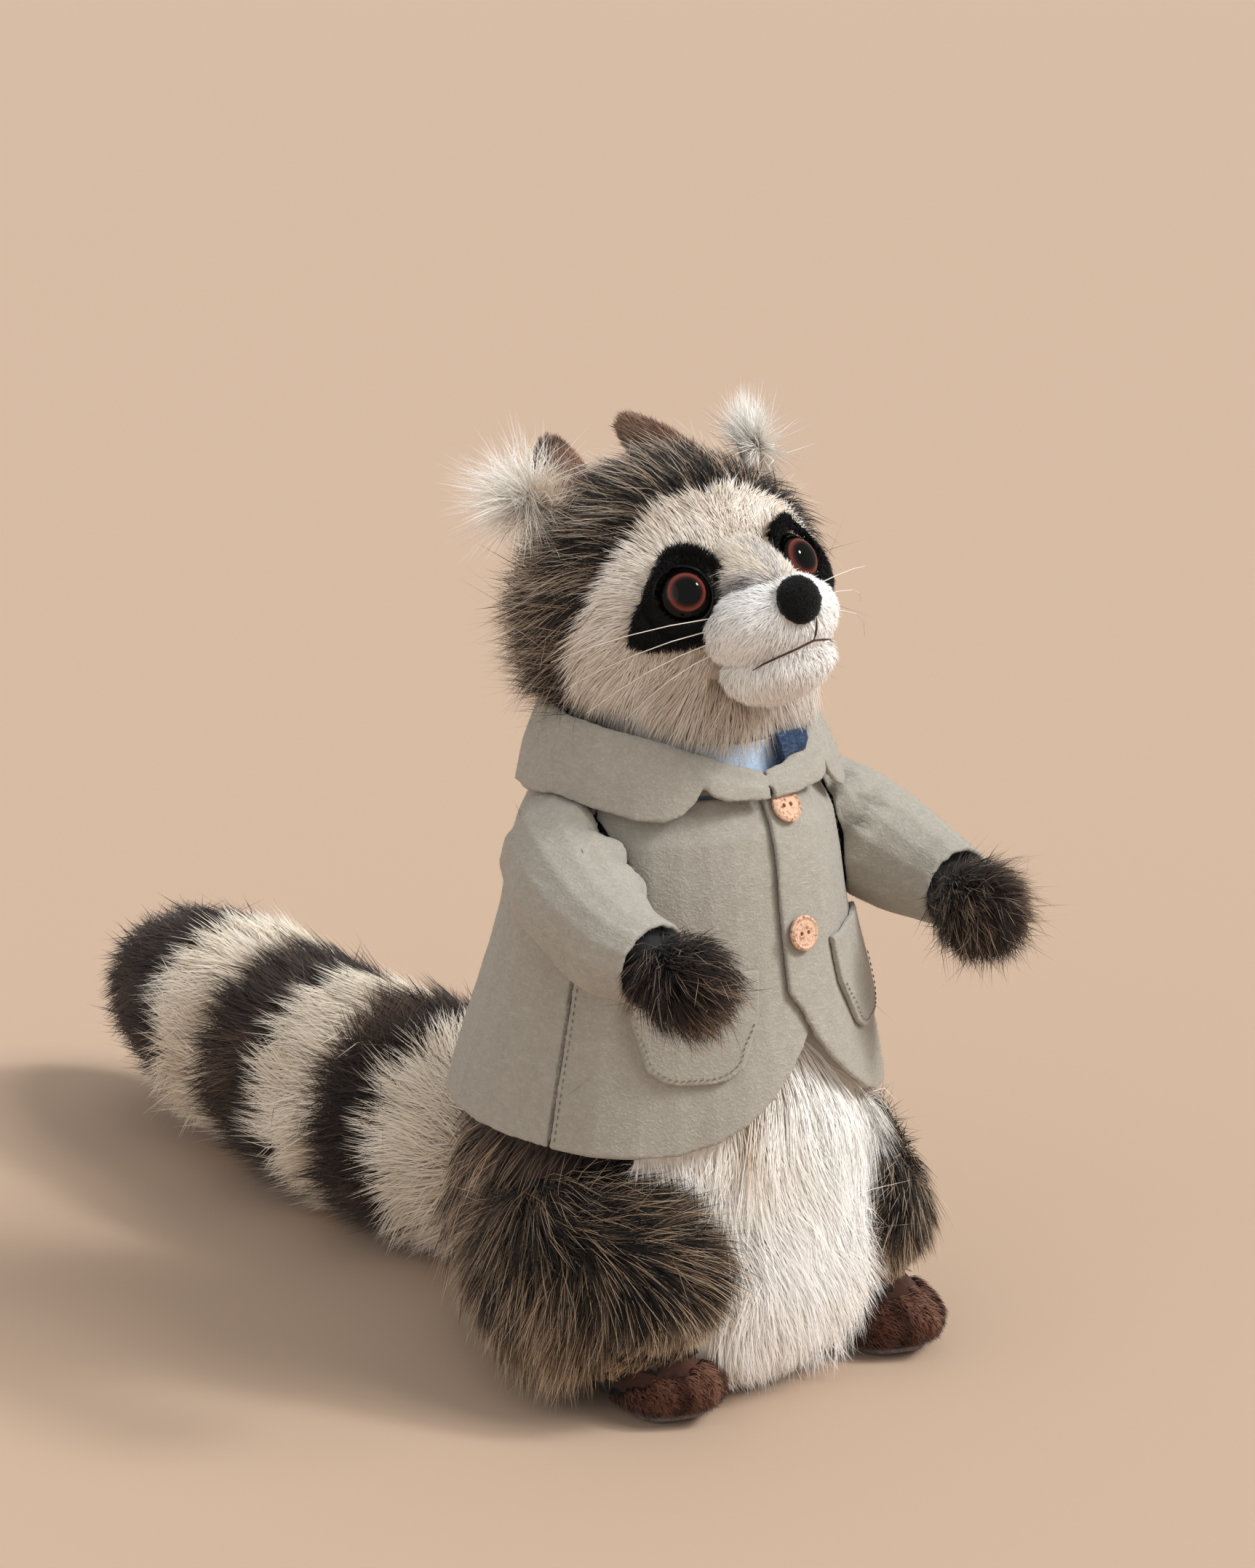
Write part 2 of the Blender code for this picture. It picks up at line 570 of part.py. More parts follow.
# Arms: stuffed fur arms that run down the sleeves and end in round paws.
def arm_rings(side, shrink, start=0):
    line = [(Vector(mirrored(p, side)), r - shrink) for p, r in ARM_LINE]
    rings, up = [], Vector((0, 0, 1))
    for k in range(start, len(line)):
        p, r = line[k]
        ahead = (line[min(k + 1, len(line) - 1)][0] - line[max(k - 1, 0)][0]).normalized()
        across = ahead.cross(up).normalized()
        lift = across.cross(ahead)
        rings.append([(p + across * r * cos(2 * pi * i / 14) + lift * r * sin(2 * pi * i / 14)) * MM
                      for i in range(14)])
    return rings


arms = {}
for side in (-1, 1):
    rings = arm_rings(side, FELT / MM + CUFF_EASE / MM)
    last = Vector(mirrored(ARM_LINE[-1][0], side))
    paw = Vector(mirrored(PAW_AT, side))
    ahead = (paw - last).normalized()
    across = ahead.cross(Vector((0, 0, 1))).normalized()
    lift = across.cross(ahead)
    for t, r in ((-0.785, 0.79), (-0.52, 0.885), (-0.115, 1.0), (0.29, 0.94), (0.64, 0.70), (0.845, 0.35)):
        t, r = t * PAW_R, r * PAW_R
        rings.append([(paw + ahead * t + across * r * cos(2 * pi * i / 14)
                       + lift * r * sin(2 * pi * i / 14)) * MM for i in range(14)])
    arm = piece(side_name("arm", side), loft(rings), PAW_FUR)
    carve(arm, body)
    arms[side] = arm

# Jacket: a back and two fronts of grey felt, cut to shape around the body.
def coat_point(angle, height, out=0.0):
    a = table(COAT_RINGS, height, 1) + out
    b = table(COAT_RINGS, height, 2) + out
    return Vector((a * sin(angle), table(COAT_RINGS, height, 3) - b * cos(angle), height)) * MM


def panel_rows(first, last, heights, lowest, out, columns):
    """Rows of a panel between two angles; the lowest row follows its own cut edge."""
    rows = []
    for k in range(heights):
        row = []
        for i in range(columns):
            t = i / (columns - 1)
            t = 1 - (1 - t) ** 1.6
            angle = first + (last - first) * t
            low = lowest(angle)
            height = low + (NECK - low) * k / (heights - 1)
            row.append(coat_point(angle, height, out(angle)))
        rows.append(row)
    return rows


def cut_edge(edge, hike):
    """Height of a front's lower edge, which curves up to the edge in the middle."""
    def lowest(angle):
        away = abs(angle - edge) * coat_point(pi / 2, HEM).x / MM / CORNER_RUN
        lift = hike * max(0.0, cos(angle * 90.0 / SIDE_SEAM)) ** 2
        return HEM + CORNER * max(0.0, 1 - away) ** 2 + lift
    return lowest


def lap_out(angle):
    """The left front rides over the right front near the middle."""
    t = min(1.0, max(0.0, (radians(LAP_STARTS) - angle) / radians(LAP_RUN)))
    return (FELT / MM + SEAM / MM + 0.5) * t * t * (3 - 2 * t)


gap_turn = SIDE_GAP / coat_point(pi / 2, (HEM + NECK) / 2).x
seam_turn = radians(SIDE_SEAM) + gap_turn
jacket_back = sheet("jacket_back", [
    [coat_point(seam_turn + 2 * (pi - seam_turn) * i / 16, HEM + (NECK - HEM) * k / 7) for i in range(17)]
    for k in range(8)], FELT, FELT_GREY)
front_right = sheet("jacket_front_right", panel_rows(
    -radians(SIDE_SEAM), radians(RIGHT_EDGE), 9, cut_edge(radians(RIGHT_EDGE), 0.0), lambda a: 0.0, 11),
    FELT, FELT_GREY)
front_left = sheet("jacket_front_left", panel_rows(
    radians(SIDE_SEAM), radians(LEFT_EDGE), 9, cut_edge(radians(LEFT_EDGE), HIKE), lap_out, 11),
    FELT, FELT_GREY)
for panel in (jacket_back, front_right, front_left):
    for side in (-1, 1):
        carve(panel, arms[side])

# Sleeves: felt tubes over the arms that end at the armholes.
sleeves = {}
for side in (-1, 1):
    outer = arm_rings(side, 0.0, 1)
    inner = arm_rings(side, FELT / MM, 1)
    sleeve = piece(side_name("sleeve", side), loft(outer + inner[::-1], caps=False), FELT_GREY)
    coat = piece("coat_form", loft([
        [coat_point(2 * pi * i / 36, HEM + (NECK - HEM) * k / 10,
                    2 * SEAM / MM + lap_out(2 * pi * i / 36 - 2 * pi * (i > 18))) for i in range(36)]
        for k in range(11)]), FELT_GREY)
    carve(sleeve, coat, 0.0)
    sleeves[side] = sleeve
    bpy.data.objects.remove(coat, do_unlink=True)

# Collar: one folded strip that stands up round the neck and falls over the shoulders,
# with a notch and a lapel at each front.
COLLAR = [  # turn, stand radius, fold height, outer radius at the edge, edge height
    (0, 46.5, 224.0, 55.5, 215.0), (14, 45.0, 227.0, 56.5, 216.5), (26, 43.8, 231.0, 56.5, 218.0),
    (30, 43.6, 232.0, 54.5, 222.0), (34, 43.5, 233.0, 56.0, 215.5), (44, 43.3, 236.0, 58.5, 210.5),
    (58, 43.3, 238.5, 59.0, 211.5), (75, 43.3, 240.5, 58.0, 214.5), (95, 43.3, 242.5, 57.5, 217.0),
    (125, 43.3, 243.5, 57.0, 219.0), (180, 43.3, 244.0, 57.0, 220.0),
]
COLLAR_ENDS = (-3.0, -4.8)  # degrees from the middle to its left and right ends
half = [8, 22, 27, 30, 33, 38, 44, 54, 70, 92, 124]
turns = [COLLAR_ENDS[0]] + half + [158, 202] + [360 - t for t in reversed(half)] + [360 + COLLAR_ENDS[1]]
rows = []
for t in turns:
    angle = radians(t)
    stand, top, rim, low = (table(COLLAR, min(abs(t), abs(360 - t)), c) for c in (1, 2, 3, 4))
    row = []
    for r, z in ((stand, NECK + 0.3), (stand + 0.8, top - 3.0),
                 (stand + 3.4, top - 0.3), (stand + 5.6, top - 1.6), (stand + 7.2, top - 4.5),
                 ((stand + 7.2 + rim) / 2 + 0.6, (top + low) / 2 - 1), (rim, low)):
        row.append(Vector(((r + 1.0) * sin(angle), -(r - 1.0) * cos(angle), z)) * MM)
    rows.append(row)
collar = sheet("collar", rows, FELT, FELT_GREY, Vector((0, 0, 0.22)), 0.95)
for panel in (front_right, front_left, jacket_back, sleeves[-1], sleeves[1]):
    carve(panel, collar)

# Shirt: a light blue front that shows in the V of the jacket, with a dark tie over it.
rows = []
for k in range(6):
    height = SHIRT_LOW + SHIRT_TALL * k / 5
    a, b = table(SHIRT, height, 1), table(SHIRT, height, 2)
    row = []
    for i in range(12):
        angle = radians(SHIRT_TURN) * (i / 5.5 - 1)
        dip = SHIRT_DIP * cos(1.3 * angle) * k / 5
        row.append(Vector((a * sin(angle), -b * cos(angle), height - dip)) * MM)
    rows.append(row)
shirt = sheet("shirt_front", rows, SHIRT_THICK, SHIRT_BLUE)
TIE_ACROSS = [(-0.85, -1), (-1, -1), (-1, 1), (-0.7, 1), (0, 1), (0.7, 1), (1, 1), (1, -1), (0.85, -1),
              (0, -1)]
rings = []
for height, wide, proud in TIE:
    cloth = table(SHIRT, height, 2)
    rings.append([Vector((TIE_AT + wide * x, -(cloth + (proud if y > 0 else 0.6)), height)) * MM
                  for x, y in TIE_ACROSS])
tie = piece("tie", loft(rings), TIE_BLUE, 0.8, False)
for source in (shirt, collar, front_left):
    carve(tie, source)
carve(shirt, collar)
for side in (-1, 1):
    carve(shirt, arms[side])

# Pockets: rounded felt patches sewn on the fronts.
for side in (-1, 1):
    rows = []
    for k in range(7):
        drop = k / 6
        row = []
        for i in range(9):
            x = i / 4 - 1
            round_off = (1 - abs(x) ** 3.2) ** 0.5 if abs(x) < 1 else 0.0
            depth = POCKET_TALL * (0.42 + 0.58 * round_off)
            height = POCKET_TOP[side] - depth * drop
            angle = radians(POCKET_TURN * side) + x * POCKET_HALF * MM / coat_point(pi / 2, height).x
            ride = lap_out(angle) if side > 0 else 0.0
            row.append(coat_point(angle, height, FELT / MM + SEAM / MM + ride))
        rows.append(row)
    pocket = sheet(side_name("pocket", side), rows, POCKET_FELT, FELT_GREY)
    carve(pocket, front_left if side > 0 else front_right)

# Buttons: two pale cork-brown discs, each with a pair of thread holes.
def button(name, sideways, height):
    angle = sideways / table(COAT_RINGS, height, 2)
    ride = lap_out(angle) + SEAM / MM + 0.1
    at = coat_point(angle, height, ride)
    out = (coat_point(angle, height, ride + 1) - coat_point(angle, height, ride)).normalized()
    slope = (coat_point(angle, height + 1, ride) - coat_point(angle, height - 1, ride)).normalized()
    out = (out - slope * out.dot(slope)).normalized()
    across = slope.cross(out)
    place = Matrix.Translation(at) @ Matrix((across, slope, out)).transposed().to_4x4()
    disc = turned(name, [(0, 0), (BUTTON_R - 0.7, 0), (BUTTON_R, 0.7), (BUTTON_R, BUTTON_THICK - 0.6),
                         (BUTTON_R - 0.8, BUTTON_THICK), (BUTTON_R - 1.6, BUTTON_THICK - 0.45),
                         (0, BUTTON_THICK - 0.45)], place, 16, BUTTON_CORK, 0.55)
    for step in (-1, 1):
        drill = bmesh.new()
        bmesh.ops.create_cone(drill, cap_ends=True, segments=8, radius1=BUTTON_HOLE_R * MM,
                              radius2=BUTTON_HOLE_R * MM, depth=4 * BUTTON_THICK * MM,
                              matrix=place @ Matrix.Translation((BUTTON_HOLE_AT * step * MM, 0, 0)))
        hole = piece("hole", drill, BUTTON_CORK)
        carve(disc, hole, 0.0)
        bpy.data.objects.remove(hole, do_unlink=True)
    return disc


upper = button("button_upper", *BUTTON_UPPER)
lower = button("button_lower", *BUTTON_LOWER)
carve(upper, collar)

# Neck: the body's top is cupped to seat the head.
for source in (hood, face):
    carve(body, source)
    carve(shirt, source)
    carve(tie, source)

# Whiskers: clear nylon lines set in the sides of the muzzle.
WHISKERS = [  # side, height of the root, then the tip sideways, ahead of the muzzle and up
    (-1, -8, 66, -34, -4), (-1, -11, 60, -42, -14), (-1, -14, 58, -36, -24), (-1, -17, 50, -26, -30),
    (1, -8, 64, -30, -6), (1, -11, 62, -38, -16), (1, -15, 54, -30, -28),
]
skin = bmesh.new()
skin.from_mesh(muzzle.data)
tree = BVHTree.FromBMesh(skin)
counts = {-1: 0, 1: 0}
for side, start_up, tip_side, tip_front, tip_up in WHISKERS:
    counts[side] += 1
    root = Vector((20 * side, MUZZLE_AT[1] + 5, start_up))
    tip = Vector((tip_side * side, MUZZLE_AT[1] + tip_front, tip_up))
    bend = root.lerp(tip, 0.5) + Vector((6 * side, 8, 4))
    far, near = head(bend), head(Vector((10 * side, MUZZLE_AT[1] - 2, start_up)))
    hit = tree.ray_cast(far, (near - far).normalized())[0]
    base = hit + (far - near).normalized() * (SEAM + WHISKER_R)
    line = bpy.data.curves.new("whisker", "CURVE")
    line.dimensions, line.bevel_depth, line.bevel_resolution = "3D", WHISKER_R, 0
    line.use_fill_caps = True
    spline = line.splines.new("POLY")
    spline.points.add(4)
    for k, point in enumerate(spline.points):
        t = k / 4
        at = base * (1 - t) ** 2 + head(bend) * 2 * t * (1 - t) + head(tip) * t * t
        point.co = (*at, 1.0)
        point.radius = 1 - 0.5 * t
    drawn = bpy.data.objects.new("whisker", line)
    PARTS.objects.link(drawn)
    bpy.context.view_layer.update()
    made = bmesh.new()
    made.from_mesh(bpy.data.meshes.new_from_object(drawn))
    bmesh.ops.remove_doubles(made, verts=made.verts, dist=0.01 * MM)
    bpy.data.objects.remove(drawn, do_unlink=True)
    piece(side_name("whisker", side) + f"_{counts[side]}", made, WHISKER_NYLON, 0.4)
skin.free()
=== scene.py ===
"""A plush raccoon in a felt jacket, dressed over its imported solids.

Lengths are in metres. The toy's body faces -Y, +Z is up and its left side is at +X.
"""
from math import cos, pi, radians, sin, tan

import bpy
import numpy as np
from mathutils import Matrix, Vector
from mathutils.bvhtree import BVHTree
from mathutils.kdtree import KDTree


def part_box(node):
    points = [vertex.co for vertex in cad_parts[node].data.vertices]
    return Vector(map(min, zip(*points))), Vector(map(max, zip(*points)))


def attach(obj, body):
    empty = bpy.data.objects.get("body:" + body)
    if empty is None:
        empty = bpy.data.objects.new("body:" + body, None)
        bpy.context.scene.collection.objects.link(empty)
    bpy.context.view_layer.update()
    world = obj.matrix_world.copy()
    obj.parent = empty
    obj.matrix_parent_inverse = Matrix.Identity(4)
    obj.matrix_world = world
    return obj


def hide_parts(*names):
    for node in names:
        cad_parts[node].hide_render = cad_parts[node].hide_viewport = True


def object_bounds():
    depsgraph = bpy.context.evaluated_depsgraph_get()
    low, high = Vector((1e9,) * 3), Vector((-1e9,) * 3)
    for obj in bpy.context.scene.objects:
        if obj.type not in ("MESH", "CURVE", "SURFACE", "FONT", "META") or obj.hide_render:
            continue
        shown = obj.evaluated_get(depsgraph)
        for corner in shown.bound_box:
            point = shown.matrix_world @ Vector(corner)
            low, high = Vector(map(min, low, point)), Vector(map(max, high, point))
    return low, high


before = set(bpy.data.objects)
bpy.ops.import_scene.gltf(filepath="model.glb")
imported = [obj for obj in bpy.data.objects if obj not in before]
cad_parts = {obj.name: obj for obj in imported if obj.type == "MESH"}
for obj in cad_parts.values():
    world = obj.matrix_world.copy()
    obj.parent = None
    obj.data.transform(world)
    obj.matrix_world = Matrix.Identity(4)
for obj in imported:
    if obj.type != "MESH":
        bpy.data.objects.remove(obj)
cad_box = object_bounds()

MM = 0.001

# View: a camera a little above the toy and to its right, over a pale warm floor that runs on
# as its own backdrop. One broad soft light comes from the toy's left front; a small one beside
# it is the window that the glass eyes mirror, and a weak one opens up the shaded right side.
EYE_POINT = Vector((-0.82259, -0.95274, 0.53483))
VIEW_TURN, VIEW_DROP, VIEW_HEIGHT = radians(40.0), radians(14.5), radians(24.0)
SENSOR = 24.0
ahead = Vector((sin(VIEW_TURN) * cos(VIEW_DROP), cos(VIEW_TURN) * cos(VIEW_DROP), -sin(VIEW_DROP)))
lens = bpy.data.cameras.new("camera")
lens.sensor_fit = "VERTICAL"
lens.sensor_height = SENSOR
lens.lens = SENSOR / 2 / tan(VIEW_HEIGHT / 2)
camera = bpy.data.objects.new("camera", lens)
camera.location = EYE_POINT
camera.rotation_euler = ahead.to_track_quat("-Z", "Y").to_euler()
bpy.context.scene.collection.objects.link(camera)
bpy.context.scene.camera = camera
bpy.context.scene.view_settings.view_transform = "Standard"


def linear(r, g, b):
    """A colour given as 0 to 255 on a screen, as the light that it sends back."""
    return tuple(((c / 255 + 0.055) / 1.055) ** 2.4 if c > 10 else c / 255 / 12.92 for c in (r, g, b))


def lamp(name, toward, energy, width, color):
    """A sun, by the way its light goes, its strength, its width in degrees and its colour."""
    data = bpy.data.lights.new(name, "SUN")
    data.energy, data.angle, data.color = energy, radians(width), color
    obj = bpy.data.objects.new(name, data)
    obj.rotation_euler = Vector(toward).to_track_quat("-Z", "Y").to_euler()
    bpy.context.scene.collection.objects.link(obj)
    return obj


broad = lamp("key", (-0.42, 0.62, -0.74), 2.3, 28, (0.97, 0.99, 1.0))
broad.visible_glossy = False
lamp("window", (-0.52, 0.58, -0.70), 1.0, 7, (0.98, 0.99, 1.0))
lamp("side", (0.80, 0.20, -0.35), 0.40, 60, (0.96, 0.98, 1.0))


def add(tree, kind, inputs=(), **fields):
    """A node with its fields set, and each input linked to a socket or given a value."""
    made = tree.nodes.new("ShaderNode" + kind)
    for field, value in fields.items():
        setattr(made, field, value)
    for place, value in dict(inputs).items():
        if isinstance(value, bpy.types.NodeSocket):
            tree.links.new(value, made.inputs[place])
        else:
            made.inputs[place].default_value = value
    return made


BACKDROP = linear(190, 164, 142)
world = bpy.data.worlds.new("studio")
bpy.context.scene.world = world
world.use_nodes = True
sky = world.node_tree
sky.nodes.clear()
glow = add(sky, "Background", {"Color": (1.0, 0.985, 0.965, 1), "Strength": 0.62})
behind = add(sky, "Background", {"Color": (*BACKDROP, 1)})
seen = add(sky, "LightPath").outputs["Is Camera Ray"]
choose = add(sky, "MixShader", {0: seen, 1: glow.outputs[0], 2: behind.outputs[0]})
add(sky, "OutputWorld", {0: choose.outputs[0]})


def shader_of(name, rough=0.8):
    """A material with its Principled shader, ready for a colour to be linked in."""
    made = bpy.data.materials.new(name)
    made.use_nodes = True
    shader = made.node_tree.nodes["Principled BSDF"]
    shader.inputs["Roughness"].default_value = rough
    return made, made.node_tree, shader


def blend(tree, factor, first, second):
    """A mix of two colours, each a socket or three values from 0 to 255."""
    a, b = (c if isinstance(c, bpy.types.NodeSocket) else (*linear(*c), 1) for c in (first, second))
    return add(tree, "Mix", {"Factor": factor, "A": a, "B": b}, data_type="RGBA").outputs["Result"]


def spread(tree, source, low, high, **fields):
    """A value stretched so that low to high becomes 0 to 1."""
    inputs = {"Value": source, "From Min": low, "From Max": high}
    return add(tree, "MapRange", inputs, **fields).outputs["Result"]


def mottled(name, rough, scale, first, second):
    """A plain material that drifts between two colours."""
    made, tree, shader = shader_of(name, rough)
    patches = add(tree, "TexNoise", {"Scale": scale}).outputs["Fac"]
    tree.links.new(blend(tree, patches, first, second), shader.inputs["Base Color"])
    return made


FLOOR_HALF = 40.0
floor_mesh = bpy.data.meshes.new("floor")
floor_mesh.from_pydata([(-FLOOR_HALF, -FLOOR_HALF, 0), (FLOOR_HALF, -FLOOR_HALF, 0),
                        (FLOOR_HALF, FLOOR_HALF, 0), (-FLOOR_HALF, FLOOR_HALF, 0)], [], [(0, 1, 2, 3)])
floor = bpy.data.objects.new("floor", floor_mesh)
bpy.context.scene.collection.objects.link(floor)
floor_mesh.materials.append(mottled("floor_paper", 0.9, 3.0, (186, 160, 138), (189, 163, 141)))

# Body: a pear of fur cloth, stuffed with fibre and closed by a flat base. The pile is long
# and grizzled, and only its lower part shows below the jacket. Each pad of fur is its cloth
# skin with strands growing from it, and the strands lie where the cloth was brushed.


WELD = 0.004 * MM       # points of a solid that are nearer than this are one point
COVERED = 1.2 * MM      # a face with another piece this close above it doesn't show
THICKNESS = 0.86        # share of the strands that are grown, to keep the mesh light
FLOOR_CLEAR = 0.5 * MM  # strands stay this far above the floor, and inside the box below
OUTER_LOW, OUTER_HIGH = np.array(cad_box[0]) - 12 * MM, np.array(cad_box[1]) + 15.5 * MM


def mesh_points(data):
    points = np.empty(len(data.vertices) * 3)
    data.vertices.foreach_get("co", points)
    return points.reshape(-1, 3)


def mesh_faces(data):
    """The corners of each triangle of a mesh."""
    data.calc_loop_triangles()
    corners = np.empty(len(data.loop_triangles) * 3, np.int64)
    data.loop_triangles.foreach_get("vertices", corners)
    return corners.reshape(-1, 3)


def solid(node):
    """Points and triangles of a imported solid, with points that coincide joined."""
    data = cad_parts[node].data
    points, faces = mesh_points(data), mesh_faces(data)
    _, first, same = np.unique(np.round(points / WELD).astype(np.int64), axis=0,
                               return_index=True, return_inverse=True)
    return points[first], same.ravel()[faces]


def unit(v):
    return v / np.maximum(np.linalg.norm(v, axis=-1, keepdims=True), 1e-12)


def all_solids():
    """One search tree of every solid, and the node that owns each of its triangles."""
    points, faces, owner, start = [], [], [], 0
    for node in sorted(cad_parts):
        own_points, own_faces = solid(node)
        points.append(own_points)
        faces.append(own_faces + start)
        owner += [node] * len(own_faces)
        start += len(own_points)
    tree = BVHTree.FromPolygons(np.concatenate(points).tolist(), np.concatenate(faces).tolist())
    return tree, owner


TREE, OWNER = all_solids()


def open_sky(points, normals, node, reach):
    """True where nothing but the node itself lies within reach above a point."""
    found = np.ones(len(points), bool)
    for i, (p, n) in enumerate(zip(points.tolist(), normals.tolist())):
        n = Vector(n)
        at = Vector(p) + n * 0.02 * MM
        hit = TREE.ray_cast(at, n, reach)
        if hit[2] is not None and OWNER[hit[2]] != node:
            found[i] = False
    return found


def outer_faces(node, points, faces):
    """The faces of a solid that show, and a smooth normal at each point."""
    a, b, c = (points[faces[:, k]] for k in range(3))
    cross = np.cross(b - a, c - a)
    shows = open_sky((a + b + c) / 3, unit(cross), node, COVERED)
    normals = np.zeros_like(points)
    for k in range(3):
        np.add.at(normals, faces[:, k], cross * shows[:, None])
    bare = np.linalg.norm(normals, axis=1) < 1e-14
    for k in range(3):
        np.add.at(normals, faces[:, k], cross * bare[faces[:, k]][:, None])
    return shows, unit(normals), ~bare, np.linalg.norm(cross, axis=1) / 2


def drift(points, size, seed):
    """A smooth random field of directions that changes over a given length."""
    rng = np.random.default_rng(seed)
    field = np.zeros_like(points)
    for _ in range(5):
        way = rng.normal(size=(3, 3)) / size
        field += np.sin(points @ way + rng.uniform(0, 2 * pi, 3)) * 0.5
    return field


def mesh_object(name, points, faces, normals, chart, material):
    """One mesh from arrays of triangles, with its own normals and a map for its colours."""
    data = bpy.data.meshes.new(name)
    data.vertices.add(len(points))
    data.vertices.foreach_set("co", points.astype(np.float32).ravel())
    data.loops.add(len(faces) * 3)
    data.loops.foreach_set("vertex_index", faces.astype(np.int32).ravel())
    data.polygons.add(len(faces))
    data.polygons.foreach_set("loop_start", np.arange(0, len(faces) * 3, 3, dtype=np.int32))
    layer = data.uv_layers.new(name="chart")
    layer.uv.foreach_set("vector", chart[faces.ravel()].astype(np.float32).ravel())
    data.update(calc_edges=True)
    data.polygons.foreach_set("use_smooth", np.ones(len(faces), bool))
    data.normals_split_custom_set_from_vertices(normals.tolist())
    data.materials.append(material)
    obj = bpy.data.objects.new(name, data)
    bpy.context.scene.collection.objects.link(obj)
    return obj


def ribbons(roots, normals, lean, long, wide, shade, rise, droop, lock, pull, steps, rng, free=False):
    """Strands as thin flat ribbons that leave the skin, bend over and end in a point.

    The strands of a lock are drawn towards the one at its head, except those that are free.
    """
    count = len(roots)
    lean = unit(lean - normals * (lean * normals).sum(1)[:, None] * 0.85)
    start = unit(normals * rise + lean * (1.2 - rise))[:, None]
    end = unit(lean + normals * rise * 0.25 + np.array([0, 0, -droop]))[:, None]
    t = np.linspace(0, 1, steps + 1)[None, :, None]
    path = roots[:, None] + long[:, None, None] * (start * (t - t * t / 2) + end * t * t / 2)
    if lock > 1:
        heads = rng.choice(count, max(1, count // lock), replace=False)
        tree = KDTree(len(heads))
        for k, i in enumerate(heads):
            tree.insert(roots[i], k)
        tree.balance()
        own = heads[np.array([tree.find(p)[1] for p in roots.tolist()])]
        share = pull[:, None, None] * t ** 1.4
        apart = (roots - roots[own])[:, None]
        path = path * (1 - share) + (path[own] + apart * 0.15) * share
        shade = np.where(free, shade, shade * 0.6 + shade[own] * 0.4)
    along = np.gradient(path, axis=1)
    side = unit(np.cross(along, normals[:, None]))
    twist = rng.normal(0, 0.6, count).clip(-1.3, 1.3)[:, None, None]
    side = side * np.cos(twist) + unit(np.cross(side, along)) * np.sin(twist)
    girth = side * (wide[:, None, None] / 2) * (1 - t) ** 0.75
    facing = unit(unit(np.cross(side, unit(along))) * 0.45 + normals[:, None] * 0.75)

    def woven(left, right, tip):
        """Values for the left and right edge at each step by turns, then for the tip."""
        edges = np.stack([left, right], 2).reshape(count, 2 * steps, -1)
        return np.concatenate([edges, tip[:, None]], 1).reshape(count * (2 * steps + 1), -1)

    points = woven((path - girth)[:, :-1], (path + girth)[:, :-1], path[:, -1])
    looks = woven(facing[:, :-1], facing[:, :-1], facing[:, -1])
    u = np.repeat(shade.clip(0.01, 0.985)[:, None], steps, 1)
    v = np.broadcast_to(t[0, :-1, 0], u.shape)
    chart = woven(np.stack([u, v], 2), np.stack([u + 0.012, v], 2),
                  np.stack([u[:, 0] + 0.006, np.ones(count)], 1))
    last = 2 * steps
    pattern = [corners for a in range(0, last - 2, 2) for corners in ((a, a + 1, a + 3), (a, a + 3, a + 2))]
    pattern.append((last - 2, last - 1, last))
    faces = np.arange(count)[:, None, None] * (2 * steps + 1) + np.array(pattern)[None]
    return points, faces.reshape(-1, 3), looks, chart


def fur_chart():
    """Node group: colour of a strand from its shade (across the map) and its height (up the map)."""
    group = bpy.data.node_groups.new("fur_chart", "ShaderNodeTree")
    for family in ("Dark", "Plain", "Light"):
        for part in ("Root", "Middle", "Tip"):
            group.interface.new_socket(f"{family} {part}", in_out="INPUT", socket_type="NodeSocketColor")
    group.interface.new_socket("Flecks", in_out="INPUT", socket_type="NodeSocketFloat")
    group.interface.new_socket("Color", in_out="OUTPUT", socket_type="NodeSocketColor")
    given, out = group.nodes.new("NodeGroupInput"), group.nodes.new("NodeGroupOutput")
    chart = add(group, "UVMap", uv_map="chart").outputs["UV"]
    across, up, _ = add(group, "SeparateXYZ", {0: chart}).outputs

    def ramp(source, low, high):
        return spread(group, source, low, high, interpolation_type="SMOOTHSTEP")

    rooted, tipped = ramp(up, 0.02, 0.42), ramp(up, 0.5, 0.95)
    families = []
    for family in ("Dark", "Plain", "Light"):
        grown = blend(group, rooted, given.outputs[f"{family} Root"], given.outputs[f"{family} Middle"])
        families.append(blend(group, tipped, grown, given.outputs[f"{family} Tip"]))
    paler = blend(group, ramp(across, 0.12, 0.45), families[0], families[1])
    colour = blend(group, ramp(across, 0.55, 0.9), paler, families[2])
    drawn_out = add(group, "VectorMath", {0: chart, 1: (1.0, 0.06, 1.0)}, operation="MULTIPLY")
    fleck = add(group, "TexNoise", {"Vector": drawn_out.outputs[0], "Scale": 60.0, "Detail": 1.0})
    change = add(group, "Math", {0: fleck.outputs["Fac"], 1: 0.5}, operation="SUBTRACT")
    amount = add(group, "Math", {0: change.outputs[0], 1: given.outputs["Flecks"], 2: 1.0},
                 operation="MULTIPLY_ADD")
    bright = add(group, "VectorMath", {0: colour, "Scale": amount.outputs[0]}, operation="SCALE")
    group.links.new(bright.outputs[0], out.inputs["Color"])
    return group


FUR_CHART = fur_chart()


